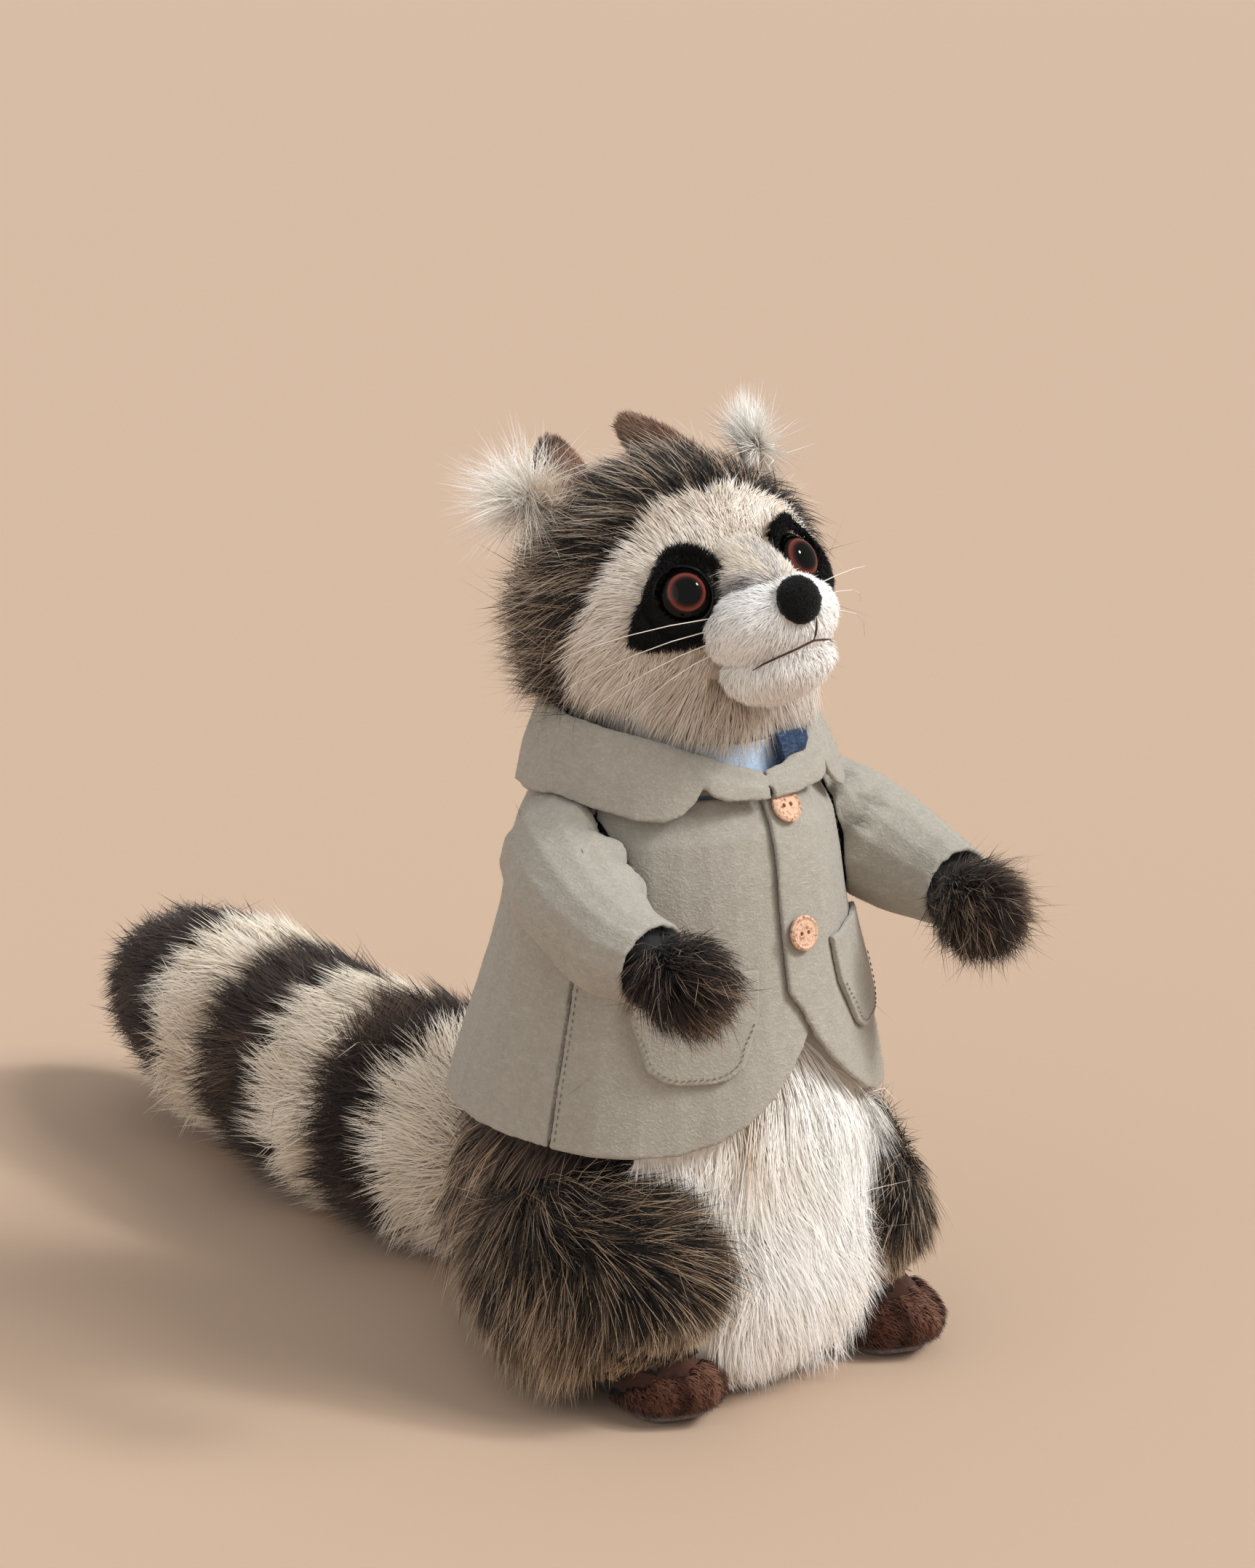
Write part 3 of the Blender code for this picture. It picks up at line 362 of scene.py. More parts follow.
def fur_look(name, dark, plain, light, flecks=0.8, rough=0.75, sheen=0.15):
    """A fur finish: three families of strands, each with a root, a middle and a tip colour."""
    made, tree, shader = shader_of(name, rough)
    colours = {f"{family} {part}": (*linear(*colour), 1)
               for family, parts in (("Dark", dark), ("Plain", plain), ("Light", light))
               for part, colour in zip(("Root", "Middle", "Tip"), parts)}
    chart = add(tree, "Group", {**colours, "Flecks": flecks}, node_tree=FUR_CHART)
    tree.links.new(chart.outputs["Color"], shader.inputs["Base Color"])
    shader.inputs["Sheen Weight"].default_value = sheen
    shader.inputs["Specular IOR Level"].default_value = 0.25
    return made


def fur(node, look, count, long, lean, shade, wide=0.45, inset=5.0, rise=0.55, droop=0.3,
        lock=14, pull=0.6, stray=0.22, sway=0.35, steps=2, reach=1.5, fill=0.85, seed=1, grow=None,
        slot=None, guard=0.0, guard_long=1.3, guard_tone=0.96, uneven=0.5, mixed=0.09):
    """Dresses one padded solid in fur: its skin drawn in a little, and strands over what shows.

    lean, long, shade, rise and grow are or may be functions of the points and normals on the
    skin: the way that the pile lies, its length, how pale it is, how upright, and where it is
    grown. Sizes are in millimetres. A share of the strands are guard hairs, which are thin,
    pale, longer and free of the locks.
    """
    rng = np.random.default_rng(seed * 7919 + len(node))
    count = int(count * THICKNESS)
    points, faces = solid(node)
    shows, normals, moves, area = outer_faces(node, points, faces)
    weight = area * shows
    picked = rng.choice(len(faces), int(count * 1.1), p=weight / weight.sum())
    a, b = rng.random(len(picked)), rng.random(len(picked))
    over = a + b > 1
    a, b = np.where(over, 1 - a, a), np.where(over, 1 - b, b)
    share = np.stack([1 - a - b, a, b], 1)[:, :, None]
    at = (points[faces[picked]] * share).sum(1)
    out = unit((normals[faces[picked]] * share).sum(1))
    keep = open_sky(at, out, node, reach * MM)
    if grow is not None:
        keep &= grow(at, out)
    at, out = at[keep][:count], out[keep][:count]
    size = len(at)
    way = unit(lean(at, out)) + drift(at, 0.02, seed + 11) * sway * 0.5
    way = way + drift(at, 0.006, seed + 12) * sway * 0.35
    way = way + rng.normal(size=(size, 3)) * stray
    length = (long(at, out) if callable(long) else long) * MM
    length = length * (1 - uneven / 2 + uneven * rng.random(size))
    tone = shade(at, out) + rng.normal(0, mixed, size) + drift(at, 0.008, seed + 13)[:, 0] * 0.06
    breadth = wide * MM * (0.7 + 0.6 * rng.random(size))
    free = rng.random(size) < guard
    length = np.where(free, length * guard_long, length)
    breadth = np.where(free, breadth * 0.75, breadth)
    tone = np.where(free, guard_tone, tone.clip(0, 1))
    roots = at - out * inset * MM
    rise = rise(at, out)[:, None] if callable(rise) else rise
    strand_points, strand_faces, strand_looks, strand_chart = ribbons(
        roots, out, way, length, breadth, tone, rise, droop, lock, pull * ~free, steps, rng, free)
    strand_points[:, 2] = np.maximum(strand_points[:, 2], FLOOR_CLEAR + strand_points[:, 2] * 0.02)
    strand_points = np.clip(strand_points, OUTER_LOW, OUTER_HIGH)
    skin = points - normals * (inset * MM) * moves[:, None]
    skin_tone = shade(points, normals) + drift(points, 0.01, seed)[:, 0] * 0.08
    skin_chart = np.stack([skin_tone.clip(0.02, 0.98),
                           0.10 + 0.05 * drift(points, 0.012, seed + 1)[:, 1]], 1)
    piece = mesh_object(node + "_fur", np.concatenate([skin, strand_points]),
                        np.concatenate([faces, strand_faces + len(skin)]),
                        np.concatenate([normals, strand_looks]),
                        np.concatenate([skin_chart, strand_chart]), look)
    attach(piece, "root")
    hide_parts(node)


def steer(*way):
    """A lean that is the same all over."""
    return lambda at, out: np.broadcast_to(np.array(way, float), at.shape)


GRIZZLED = fur_look(
    "grizzled_fur",
    ((26, 20, 18), (42, 33, 28), (62, 48, 40)),
    ((44, 35, 30), (100, 82, 68), (176, 156, 134)),
    ((90, 72, 58), (170, 146, 120), (222, 204, 180)), 0.9)
WHITE = fur_look(
    "white_fur",
    ((176, 150, 124), (208, 186, 158), (228, 210, 184)),
    ((236, 228, 216), (248, 243, 235), (252, 249, 243)),
    ((250, 246, 240), (254, 252, 248), (254, 253, 250)), 0.16)


def blot(at, centre, size):
    """1 at a place that fades to 0 a given distance away, in millimetres."""
    gone = np.linalg.norm(at - np.array(centre) * MM, axis=1) / (size * MM)
    return np.exp(-gone * gone)


def down_back(at, out):
    """Brushed downwards and a little to the rear."""
    return np.array([0, 0.35, -1]) + at * np.array([3, 0, 0])


fur("body", GRIZZLED, 12000, 21, down_back, lambda at, out: 0.42 + 0.15 * (at[:, 2] < 0.03),
    inset=6, reach=14, seed=3, slot="grizzled_fur", wide=0.6, guard=0.12,
    grow=lambda at, out: (at[:, 2] < 0.112) & (out[:, 2] > -0.9))

# Belly: a panel of long white fur cloth, sewn down the front of the body and brushed straight down in loose
# locks. It is trimmed short under the hem of the jacket, which lies on it, and near the floor. A tan patch at
# its top on the right, just under the jacket's right front, is painted shade.
fur("belly_panel", WHITE, 22000,
    lambda at, out: 25 - 12 * (at[:, 2] < 0.03) - 13 * ((at[:, 0] < -0.024) & (at[:, 2] > 0.070)),
    steer(0.15, -0.1, -1),
    # The darker patch at the top right is painted shade under the jacket's right front.
    lambda at, out: (0.74 - 0.12 * (at[:, 2] < 0.02) + 0.10 * drift(at, 0.016, 7)[:, 0]
                     - 0.45 * blot(at, (-20, -70, 108), 20)),
    inset=5, reach=9, wide=0.42, rise=0.36, lock=7, pull=0.32, sway=0.6, stray=0.2, seed=4,
    slot="white_fur", uneven=0.7, grow=lambda at, out: (at[:, 2] < 0.150) & (at[:, 2] > 0.006))

# Haunches: two round stuffed thighs of the same grizzled fur, sewn to the sides of the body. Dark roots show
# between hanging locks with grey and tan tips. The top of each knee is drawn near-black, far more on the
# right thigh than on the left: partly the pile's own dark colour and partly painted shade below the jacket's
# hem. The left thigh, which faces the key light, is also painted paler: painted light.
THIGH = fur_look(
    "thigh_fur",
    ((10, 9, 8), (14, 12, 11), (24, 20, 18)),
    ((18, 15, 13), (42, 34, 28), (108, 88, 69)),
    ((52, 41, 33), (140, 115, 91), (214, 192, 164)), 1.0)


def knee(at, out):
    """1 on the top of a thigh towards the front, fading to 0 round it."""
    return ((out[:, 2] + 0.05) / 0.7).clip(0, 1) * ((0.012 - at[:, 1]) / 0.03).clip(0, 1)


def thigh_lean(side):
    """Down and back, but up and inwards on the knee, where the pile stands against the belly."""
    hanging, standing = np.array([side * 0.15, 0.30, -1.0]), np.array([-side * 0.9, -0.5, 0.5])

    def lean(at, out):
        top = knee(at, out)[:, None]
        return hanging * (1 - top) + standing * top

    return lean


THIGH_PILE = 22


def thigh_length(word):
    """The full pile, trimmed short above a foot and round it so that the foot shows."""
    low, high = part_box(f"foot_{word}")

    def long(at, out):
        aside = (np.abs(at[:, 0] - (low.x + high.x) / 2) - (high.x - low.x) / 2 - 0.010) / 0.008
        behind = (at[:, 1] - low.y - 0.056) / 0.010
        trimmed = ((at[:, 2] - high.z) / MM * 0.6 + 1).clip(4, THIGH_PILE)
        grown = trimmed + (THIGH_PILE - trimmed) * np.maximum(aside, behind).clip(0, 1)
        return np.where((aside < 1) & (behind < 1), grown, THIGH_PILE)

    return long


SIDES = ((-1, "right"), (1, "left"))
for side, word in SIDES:
    # Painted shade darkens the top of the knee below the hem, mostly on the right, and painted light makes
    # the left thigh paler.
    fur(f"haunch_{word}", THIGH, 19000, thigh_length(word), thigh_lean(side),
        lambda at, out, side=side: (0.42 + 0.20 * drift(at, 0.012, 21)[:, 0]
                                    - (0.62 if side < 0 else 0.1) * knee(at, out)
                                    + 0.14 * (at[:, 2] < 0.035) + (0.12 if side > 0 else 0)),
        inset=6, reach=2.5, wide=0.5, rise=0.52, droop=0.3, lock=14, pull=0.5, sway=0.6,
        seed=31 + side, slot="grizzled_fur", guard=0.16, guard_long=1.12, uneven=0.8, mixed=0.2,
        stray=0.28)

# Feet: stuffed with fibre under a short reddish-brown plush. Thread pulled round the front makes the toe
# lobes. Their pile is painted paler on top, a painted highlight, and darker in the lines between the lobes,
# painted shade in the creases.
FOOT = fur_look(
    "foot_plush",
    ((34, 19, 15), (54, 30, 23), (78, 46, 35)),
    ((54, 31, 24), (98, 60, 46), (134, 92, 72)),
    ((80, 50, 39), (134, 94, 74), (170, 130, 108)), 0.8)
TOE_WIDTH = 9.2 * MM


def toe_highlight_and_crease_shade(low, high):
    """Painted light: paler on top of each toe lobe, a painted highlight, and darker in the lines between the
    lobes, painted shade in the creases.
    """
    def shade(at, out):
        line = np.abs(np.sin((at[:, 0] - (low.x + high.x) / 2) / TOE_WIDTH * pi / 2)) > 0.93
        return (0.42 + 0.38 * out[:, 2].clip(0, 1) * (at[:, 1] < low.y + 0.022)
                - 0.4 * line * (at[:, 1] < low.y + 0.014))

    return shade


for side, word in SIDES:
    fur(f"foot_{word}", FOOT, 7500, 5.2, steer(0, -0.75, -0.35), toe_highlight_and_crease_shade(*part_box(f"foot_{word}")),
        inset=2.0, reach=2.0, wide=0.34, rise=0.85, droop=0.05, lock=4, pull=0.3, stray=0.4,
        seed=41 + side, slot="foot_plush")

# Tail: six rings of long fur cloth, cream and near-black by turns, sewn edge to edge and
# stuffed as one tube. The pile is brushed to the tip and is a little shorter round its end.
TAIL_CREAM = fur_look(
    "tail_cream",
    ((120, 94, 74), (184, 160, 134), (220, 202, 178)),
    ((176, 152, 128), (232, 218, 198), (246, 236, 220)),
    ((200, 180, 158), (244, 234, 218), (252, 246, 236)), 0.5)
TAIL_DARK = fur_look(
    "tail_dark",
    ((14, 11, 10), (24, 19, 17), (36, 28, 25)),
    ((20, 16, 14), (36, 28, 24), (60, 47, 40)),
    ((32, 25, 21), (66, 51, 42), (128, 102, 82)), 1.0)
RINGS = 6


def ring_length(k):
    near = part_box(f"tail_ring_{k}")[0].y
    return lambda at, out: 25 - 6 * (k == RINGS) * ((at[:, 1] - near) / 0.09).clip(0, 1)


for k in range(1, RINGS + 1):
    dark = k % 2 == 0
    fur(f"tail_ring_{k}", TAIL_DARK if dark else TAIL_CREAM, 10500 if k < RINGS else 15000,
        ring_length(k), lambda at, out: np.array([0, 1, -0.12]) + out * 0.15,
        lambda at, out: 0.5 + 0.12 * drift(at, 0.01, 55)[:, 1],
        inset=9, reach=2.0, wide=0.6, rise=0.6, droop=0.12, lock=14, pull=0.5, sway=0.6, stray=0.34,
        uneven=0.9, seed=60 + k, slot="dark_fur" if dark else "cream_fur", guard=0.06 if dark else 0.0,
        guard_long=1.0)

# Head: a stuffed ball of two furs, a cream face and a grizzled hood that meet at a seam. It is
# turned to the toy's right, lifted, and leans a little. The pile runs away from the nose.
HEAD_AT = np.array((0.0, -4.0, 273.0)) * MM
HEAD_TURN, HEAD_LIFT, HEAD_LEAN = radians(10.0), radians(20.0), radians(9.0)
FORWARD = Vector((-sin(HEAD_TURN) * cos(HEAD_LIFT), -cos(HEAD_TURN) * cos(HEAD_LIFT), sin(HEAD_LIFT)))
LEVEL = Vector((cos(HEAD_TURN), -sin(HEAD_TURN), 0))
CROWN = FORWARD.cross(LEVEL) * (1 if FORWARD.cross(LEVEL).z > 0 else -1)
SIDEWAYS = np.array(LEVEL * cos(HEAD_LEAN) + CROWN * sin(HEAD_LEAN))
UPWARDS = np.array(CROWN * cos(HEAD_LEAN) - LEVEL * sin(HEAD_LEAN))
FORWARD = np.array(FORWARD)


def middle(node):
    low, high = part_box(node)
    return np.array((low + high) / 2)


NOSE_MID = middle("nose")
EYE_MIDS = {-1: middle("eye_rim_right"), 1: middle("eye_rim_left")}


def head_way(sideways, forward, upward):
    return SIDEWAYS * sideways + FORWARD * forward + UPWARDS * upward


def head_place(at):
    """Sideways, forward and upward from the middle of the head, in millimetres."""
    apart = (at - HEAD_AT) / MM
    return apart @ SIDEWAYS, apart @ FORWARD, apart @ UPWARDS


def from_nose(at, out):
    """Brushed away from the nose, round the eyes, and down where it is free."""
    way = unit(at - NOSE_MID - FORWARD * 0.004) + np.array([0, 0, -0.25])
    way = way + ((-20 - head_place(at)[2]) / 12).clip(0, 1)[:, None] * np.array([0, -0.5, -1.3])
    for mid in EYE_MIDS.values():
        apart = at - mid
        gone = np.linalg.norm(apart, axis=1, keepdims=True)
        way = way + apart / gone * np.exp(-((gone / 0.017) ** 2)) * 2.4
    return way


FACE = fur_look(
    "face_fur",
    ((104, 82, 66), (152, 126, 104), (184, 160, 136)),
    ((158, 136, 116), (208, 192, 173), (226, 214, 198)),
    ((216, 204, 188), (240, 232, 221), (247, 242, 234)), 0.7)
HOOD = fur_look(
    "hood_fur",
    ((9, 8, 8), (12, 11, 11), (19, 17, 16)),
    ((14, 12, 11), (28, 24, 21), (72, 59, 49)),
    ((44, 35, 29), (156, 133, 109), (238, 226, 208)), 1.0)


def face_length(at, out):
    """Short round the nose and the eyes, and long in the ruff under the jaw."""
    s, f, u = head_place(at)
    near_mask = sum(blot(at, mid / MM, 24) for mid in EYE_MIDS.values()).clip(0, 1)
    ruff = ((-22 - u) / 12).clip(0, 1)
    return ((6.0 + 9.5 * ((46 - f) / 40).clip(0, 1)) * (1 - 0.6 * near_mask * (1 - ruff))
            + (9.0 + 6.0 * ((6 - s) / 16).clip(0, 1)) * ruff)


def face_shade(at, out):
    """Cream, and tanner towards the hood and over the brow."""
    s, f, u = head_place(at)
    return (0.74 + 0.14 * drift(at, 0.007, 71)[:, 0] - 0.34 * ((14 - f) / 22).clip(0, 1)
            - 0.25 * ((u - 24) / 10).clip(0, 1))


SOCKET = 13.5 * MM
fur("face", FACE, 25000, face_length, from_nose, face_shade, inset=3.0, reach=2.0, wide=0.36,
    rise=lambda at, out: 0.42 + 0.55 * ((-24 - head_place(at)[2]) / 12).clip(0, 1),
    droop=0.25, lock=4, pull=0.3, sway=0.5, stray=0.18, seed=71, slot="cream_fur", guard=0.05, uneven=0.7,
    grow=lambda at, out: (np.linalg.norm(at - EYE_MIDS[-1], axis=1) > SOCKET)
    & (np.linalg.norm(at - EYE_MIDS[1], axis=1) > SOCKET))
fur("hood", HOOD, 24000, lambda at, out: 19.0 + 4.5 * (out[:, 2] < 0.2), from_nose,
    lambda at, out: (0.24 + 0.24 * drift(at, 0.007, 73)[:, 0]
                     + 0.3 * ((-14 - head_place(at)[1]) / 18).clip(0, 1)),
    inset=4.0, reach=2.5, wide=0.44, rise=0.6, droop=0.12, lock=7, pull=0.45, sway=0.5, stray=0.28,
    seed=73, slot="grizzled_fur", guard=0.26, guard_long=1.16, uneven=0.9, mixed=0.18)

# Muzzle, chin and bridge: pads of short white plush, sewn to the face. Brown is airbrushed along
# the mouth and down the right side of the bridge, and the mouth is also stitched through the
# pile with brown thread, down from the nose and out along it.
PLUSH = fur_look(
    "muzzle_plush",
    ((84, 62, 50), (116, 90, 74), (150, 124, 104)),
    ((232, 226, 218), (247, 243, 237), (252, 249, 244)),
    ((248, 245, 240), (253, 252, 249), (254, 253, 251)), 0.16)


def near_line(at, points, width):
    """1 on a line through points of the head, in millimetres, fading to 0 beside it."""
    here = np.stack(head_place(at), 1)
    best = np.full(len(at), 1e9)
    for a, b in zip(points, points[1:]):
        a, b = np.array(a, float), np.array(b, float)
        t = ((here - a) @ (b - a) / ((b - a) @ (b - a))).clip(0, 1)[:, None]
        best = np.minimum(best, np.linalg.norm(here - (a + (b - a) * t), axis=1))
    return np.exp(-((best / width) ** 2))


MOUTH = [(-17, 58, -25), (-10, 66.5, -24.3), (0, 70.5, -23.5), (10, 66.5, -24.3), (17, 58, -25)]
PHILTRUM = [(0, 76, -17), (0, 70.5, -23.5)]
MOUTH_STITCH = [(-18, 59, -27.2), (-15.5, 62.4, -26.2), (-11.8, 66.6, -25.5), (-6.5, 70.4, -24.8),
                (0, 72.4, -23.8), (5, 71.0, -24.6), (9, 68.6, -25.2)]
LIP_STITCH = [(0, 78.0, -17.0), (0, 76.7, -19.5), (0, 74.6, -22.0), (0, 72.4, -23.8)]


def muzzle_shade(at, out):
    marks = near_line(at, MOUTH, 1.8) + near_line(at, PHILTRUM, 1.4)
    return 0.80 + 0.06 * drift(at, 0.006, 81)[:, 0] - 0.85 * marks.clip(0, 1)


def muzzle_length(at, out):
    """Longer beside the mouth, so that the pile closes the groove, and short on the line."""
    return 4.2 + 1.6 * near_line(at, MOUTH, 6.0) - 3.0 * near_line(at, MOUTH, 1.6)


for name, count, wide, rise, seed in (("muzzle", 15000, 0.34, 0.6, 81), ("chin", 8500, 0.32, 0.75, 82)):
    fur(name, PLUSH, count, muzzle_length, from_nose, muzzle_shade, inset=1.4, reach=0.8, wide=wide,
        rise=rise, droop=0.1, lock=4, pull=0.3, stray=0.3, seed=seed, slot="white_fur")
BRIDGE = fur_look(
    "bridge_plush",
    ((34, 24, 20), (56, 40, 33), (84, 64, 54)),
    ((128, 119, 116), (172, 166, 166), (202, 198, 198)),
    ((204, 186, 164), (232, 219, 200), (244, 236, 222)), 0.7)
BRIDGE_RIDGE = [(0, 58, 8), (0, 68, 2), (0, 76, -4)]
BRIDGE_LINE = [(-13, 50, 2), (-8, 60, 2), (-5, 70, -3)]
fur("nose_bridge", BRIDGE, 7500,
    lambda at, out: 5.0 + 5.0 * ((64 - head_place(at)[1]) / 14).clip(0, 1), from_nose,
    lambda at, out: (0.95 + 0.14 * drift(at, 0.004, 83)[:, 0] - 0.42 * near_line(at, BRIDGE_RIDGE, 9.0)
                     - 0.8 * near_line(at, BRIDGE_LINE, 2.4)),
    inset=1.6, reach=0.6, wide=0.32, rise=0.55, droop=0.0, lock=5, pull=0.4, stray=0.3, seed=83,
    mixed=0.2, slot="white_fur")

# Eye patches: black plush, cut to a drop and sewn on round each eye. Its pile fans out from
# the eye and fringes over the cream fur, and at the socket it turns in over the edge.
MASK = fur_look(
    "mask_plush",
    ((7, 7, 8), (11, 11, 12), (17, 17, 18)),
    ((9, 9, 10), (15, 15, 16), (26, 25, 26)),
    ((14, 13, 14), (28, 26, 26), (52, 46, 43)), 0.8, 0.95, 0.05)


def round_eye(side):
    """Away from the eye, but turned in over the socket's edge."""
    def lean(at, out):
        apart = at - EYE_MIDS[side]
        gone = np.linalg.norm(apart, axis=1, keepdims=True)
        return apart / gone * np.where(gone < 15.0 * MM, -1.0, 1.0) + np.array([0, 0, -0.2])

    return lean


for side, word in SIDES:
    fur(f"eye_patch_{word}", MASK, 6500, 3.8, round_eye(side),
        lambda at, out: 0.35 + 0.1 * drift(at, 0.004, 91)[:, 0], inset=0.7, reach=0.6, wide=0.36,
        rise=0.6, droop=0.1, lock=4, pull=0.3, stray=0.35, seed=91 + side, slot="mask_plush")

# Ears: leaves of brown plush with a cream lining, turned, curled and laid back. A tuft of long
# white fur is sewn in front of each; the right one fans out wide and the left one stands up.
EAR_WAY = {s: unit(head_way(-0.30 * s, -0.55, 0.78)) for s in (-1, 1)}
EAR = fur_look(
    "ear_plush",
    ((34, 22, 17), (52, 33, 25), (78, 52, 40)),
    ((62, 42, 33), (112, 80, 64), (146, 112, 92)),
    ((96, 70, 56), (160, 128, 108), (206, 180, 158)), 0.8)
LINING = fur_look(
    "lining_plush",
    ((90, 68, 52), (140, 114, 92), (176, 152, 128)),
    ((130, 108, 90), (196, 178, 156), (222, 208, 190)),
    ((150, 130, 112), (220, 206, 186), (240, 230, 214)), 0.6)
EAR_PILE = dict(reach=0.5, wide=0.34, rise=0.6, droop=0.0, lock=4, pull=0.35)
TUFT_LONG = {-1: 25, 1: 18}
TUFT_SPREAD = {-1: 0.22, 1: 0.55}
TUFT_FANS = {-1: head_way(-0.90, -0.30, 0.30), 1: head_way(0.20, -0.15, 0.92)}


def tuft_lean(side, mid):
    """Out from the middle of the tuft and along its fan."""
    return lambda at, out: unit(at - mid) * TUFT_SPREAD[side] + TUFT_FANS[side]


for side, word in SIDES:
    fur(f"ear_{word}", EAR, 4200, 5.0, steer(*EAR_WAY[side]),
        lambda at, out: 0.50 + 0.2 * drift(at, 0.006, 95)[:, 0],
        inset=0.4, stray=0.35, seed=95 + side, slot="foot_plush", **EAR_PILE)
    fur(f"ear_lining_{word}", LINING, 2600, 5.5, steer(*EAR_WAY[side]),
        lambda at, out: 0.6 + 0.12 * drift(at, 0.006, 97)[:, 0],
        inset=0.3, seed=98 + side, slot="cream_fur", **EAR_PILE)
    mid = middle(f"ear_tuft_{word}")
    fur(f"ear_tuft_{word}", WHITE, 4600, TUFT_LONG[side], tuft_lean(side, mid),
        lambda at, out, mid=mid: 0.66 - 0.4 * (at[:, 2] < mid[2] - 0.002),
        inset=5.5, reach=0.8, wide=0.32, rise=0.10, droop=0.0, lock=9, pull=0.5, stray=0.24, sway=1.3,
        seed=101 + side, slot="white_fur", uneven=1.1,
        grow=lambda at, out, side=side: out @ TUFT_FANS[side] > 0.1)

# Arms: stuffed fur arms, sewn to the body inside the sleeves. Only the round paws show, and their pile is
# near-black with stray tan hairs. A paler tan patch on each paw, on its side towards the key light, is partly
# tan hair at the fingertips and partly painted light.
PAW = fur_look(
    "paw_fur",
    ((12, 10, 9), (22, 17, 15), (34, 27, 23)),
    ((16, 13, 12), (32, 25, 21), (56, 44, 37)),
    ((30, 24, 20), (96, 76, 62), (190, 164, 138)), 1.0)
PAW_MIDS = {-1: (-67.5, -84.0, 170.0), 1: (67.5, -84.0, 170.0)}
# Where the tan patch lies on each paw, towards the key light: partly tan fingertip hair, partly painted
# light.
PAW_TIPS_AND_PAINTED_LIGHT = {-1: (-60, -98, 154), 1: (80, -88, 178)}


def paw_lean(side):
    """Out from the middle of the paw, and a little forwards and down."""
    mid = np.array(PAW_MIDS[side]) * MM
    return lambda at, out: unit(at - mid) * 0.4 + np.array([0.15, -0.35, -0.35])


for side, word in SIDES:
    fur(f"arm_{word}", PAW, 9500, 12.5, paw_lean(side),
        lambda at, out, side=side: (0.34 + 0.12 * drift(at, 0.006, 111)[:, 0]
                                    + 0.55 * blot(at, PAW_TIPS_AND_PAINTED_LIGHT[side], 15)),
        inset=6.0, reach=2.5, wide=0.44, rise=0.75, droop=0.15, lock=8, pull=0.5, stray=0.6, sway=0.9,
        seed=111 + side, slot="dark_fur", guard=0.1, guard_long=1.45, uneven=0.9, mixed=0.14)

# Nose: a hard moulded button in the shape of a shield, pushed through the plush at the end of
# the muzzle and flocked in matte black, so it shows no gloss.
FLOCK = fur_look("nose_flock", ((9, 9, 10),) * 3, ((16, 16, 17), (20, 20, 21), (30, 30, 31)),
                 ((22, 22, 23), (30, 30, 31), (46, 45, 46)), 0.6, 0.95, 0.3)
fur("nose", FLOCK, 6000, 1.3, from_nose, lambda at, out: 0.5 + 0.2 * drift(at, 0.002, 121)[:, 0],
    inset=0.3, reach=0.5, wide=0.26, rise=0.9, droop=0.0, lock=1, stray=0.6, seed=121, fill=1.0,
    slot="nose_flock")

# Eyes: domes of clear glass over a painted reddish-brown iris and a wide black pupil, each held in
# a thin grey-black plastic lid that is pressed through the cloth. They look a little outwards
# and up from the way that the head points.


def turned(name, profile, mid, axis, material, close=True):
    """A turned form: a profile of radius and height in millimetres, run round an axis.

    It is closed by a flat face at each end, or else by a band from the last point to the first.
    """
    around = 56
    place = Matrix.Translation(Vector(mid)) @ Vector(axis).to_track_quat("Z", "Y").to_matrix().to_4x4()
    points, faces = [], []
    for r, z in profile:
        for i in range(around):
            turn = 2 * pi * i / around
            points.append(place @ (Vector((r * cos(turn), r * sin(turn), z)) * MM))
    for k in range(len(profile) - 1):
        for i in range(around):
            j = (i + 1) % around
            a = k * around
            faces.append((a + i, a + j, a + around + j, a + around + i))
    if close:
        faces.append(tuple(reversed(range(around))))
        faces.append(tuple(range((len(profile) - 1) * around, len(profile) * around)))
    else:
        a = (len(profile) - 1) * around
        faces += [(a + i, a + (i + 1) % around, (i + 1) % around, i) for i in range(around)]
    data = bpy.data.meshes.new(name)
    data.from_pydata(points, [], faces)
    data.polygons.foreach_set("use_smooth", [len(f) == 4 for f in faces])
    chart = data.uv_layers.new(name="chart")
    for loop, uv in zip(data.loops, chart.uv):
        at = place.inverted() @ data.vertices[loop.vertex_index].co / MM
        uv.vector = (0.5 + at.x / 24, 0.5 + at.y / 24)
    data.materials.append(material)
    obj = bpy.data.objects.new(name, data)
    bpy.context.scene.collection.objects.link(obj)
    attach(obj, "root")
    return obj


def eye_look():
    """Painted rings under glass, from the middle of the pupil out, with fine streaks."""
    made, tree, shader = shader_of("eye_glass", 0.06)
    chart = add(tree, "UVMap", uv_map="chart").outputs["UV"]
    apart = add(tree, "VectorMath", {0: chart, 1: (0.5, 0.5, 0.0)}, operation="DISTANCE")
    rings = add(tree, "ValToRGB", {"Fac": apart.outputs["Value"]})
    stops = [(0.0, (2, 2, 2)), (0.170, (3, 2, 2)), (0.205, (38, 17, 14)), (0.240, (98, 46, 38)),
             (0.262, (116, 58, 49)), (0.280, (34, 15, 13)), (0.30, (6, 6, 6))]
    ramp = rings.color_ramp
    while len(ramp.elements) < len(stops):
        ramp.elements.new(0.5)
    for element, (place, colour) in zip(ramp.elements, stops):
        element.position = place
        element.color = (*linear(*colour), 1)
    streaks = add(tree, "TexNoise", {"Vector": chart, "Scale": 55.0})
    level = add(tree, "MapRange", {"Value": streaks.outputs["Fac"], "To Min": 0.7, "To Max": 1.25})
    tone = add(tree, "VectorMath", {0: rings.outputs["Color"], "Scale": level.outputs["Result"]},
               operation="SCALE")
    tree.links.new(tone.outputs[0], shader.inputs["Base Color"])
    shader.inputs["Specular IOR Level"].default_value = 0.0
    shader.inputs["Coat Weight"].default_value = 0.4
    shader.inputs["Coat Roughness"].default_value = 0.015
    return made


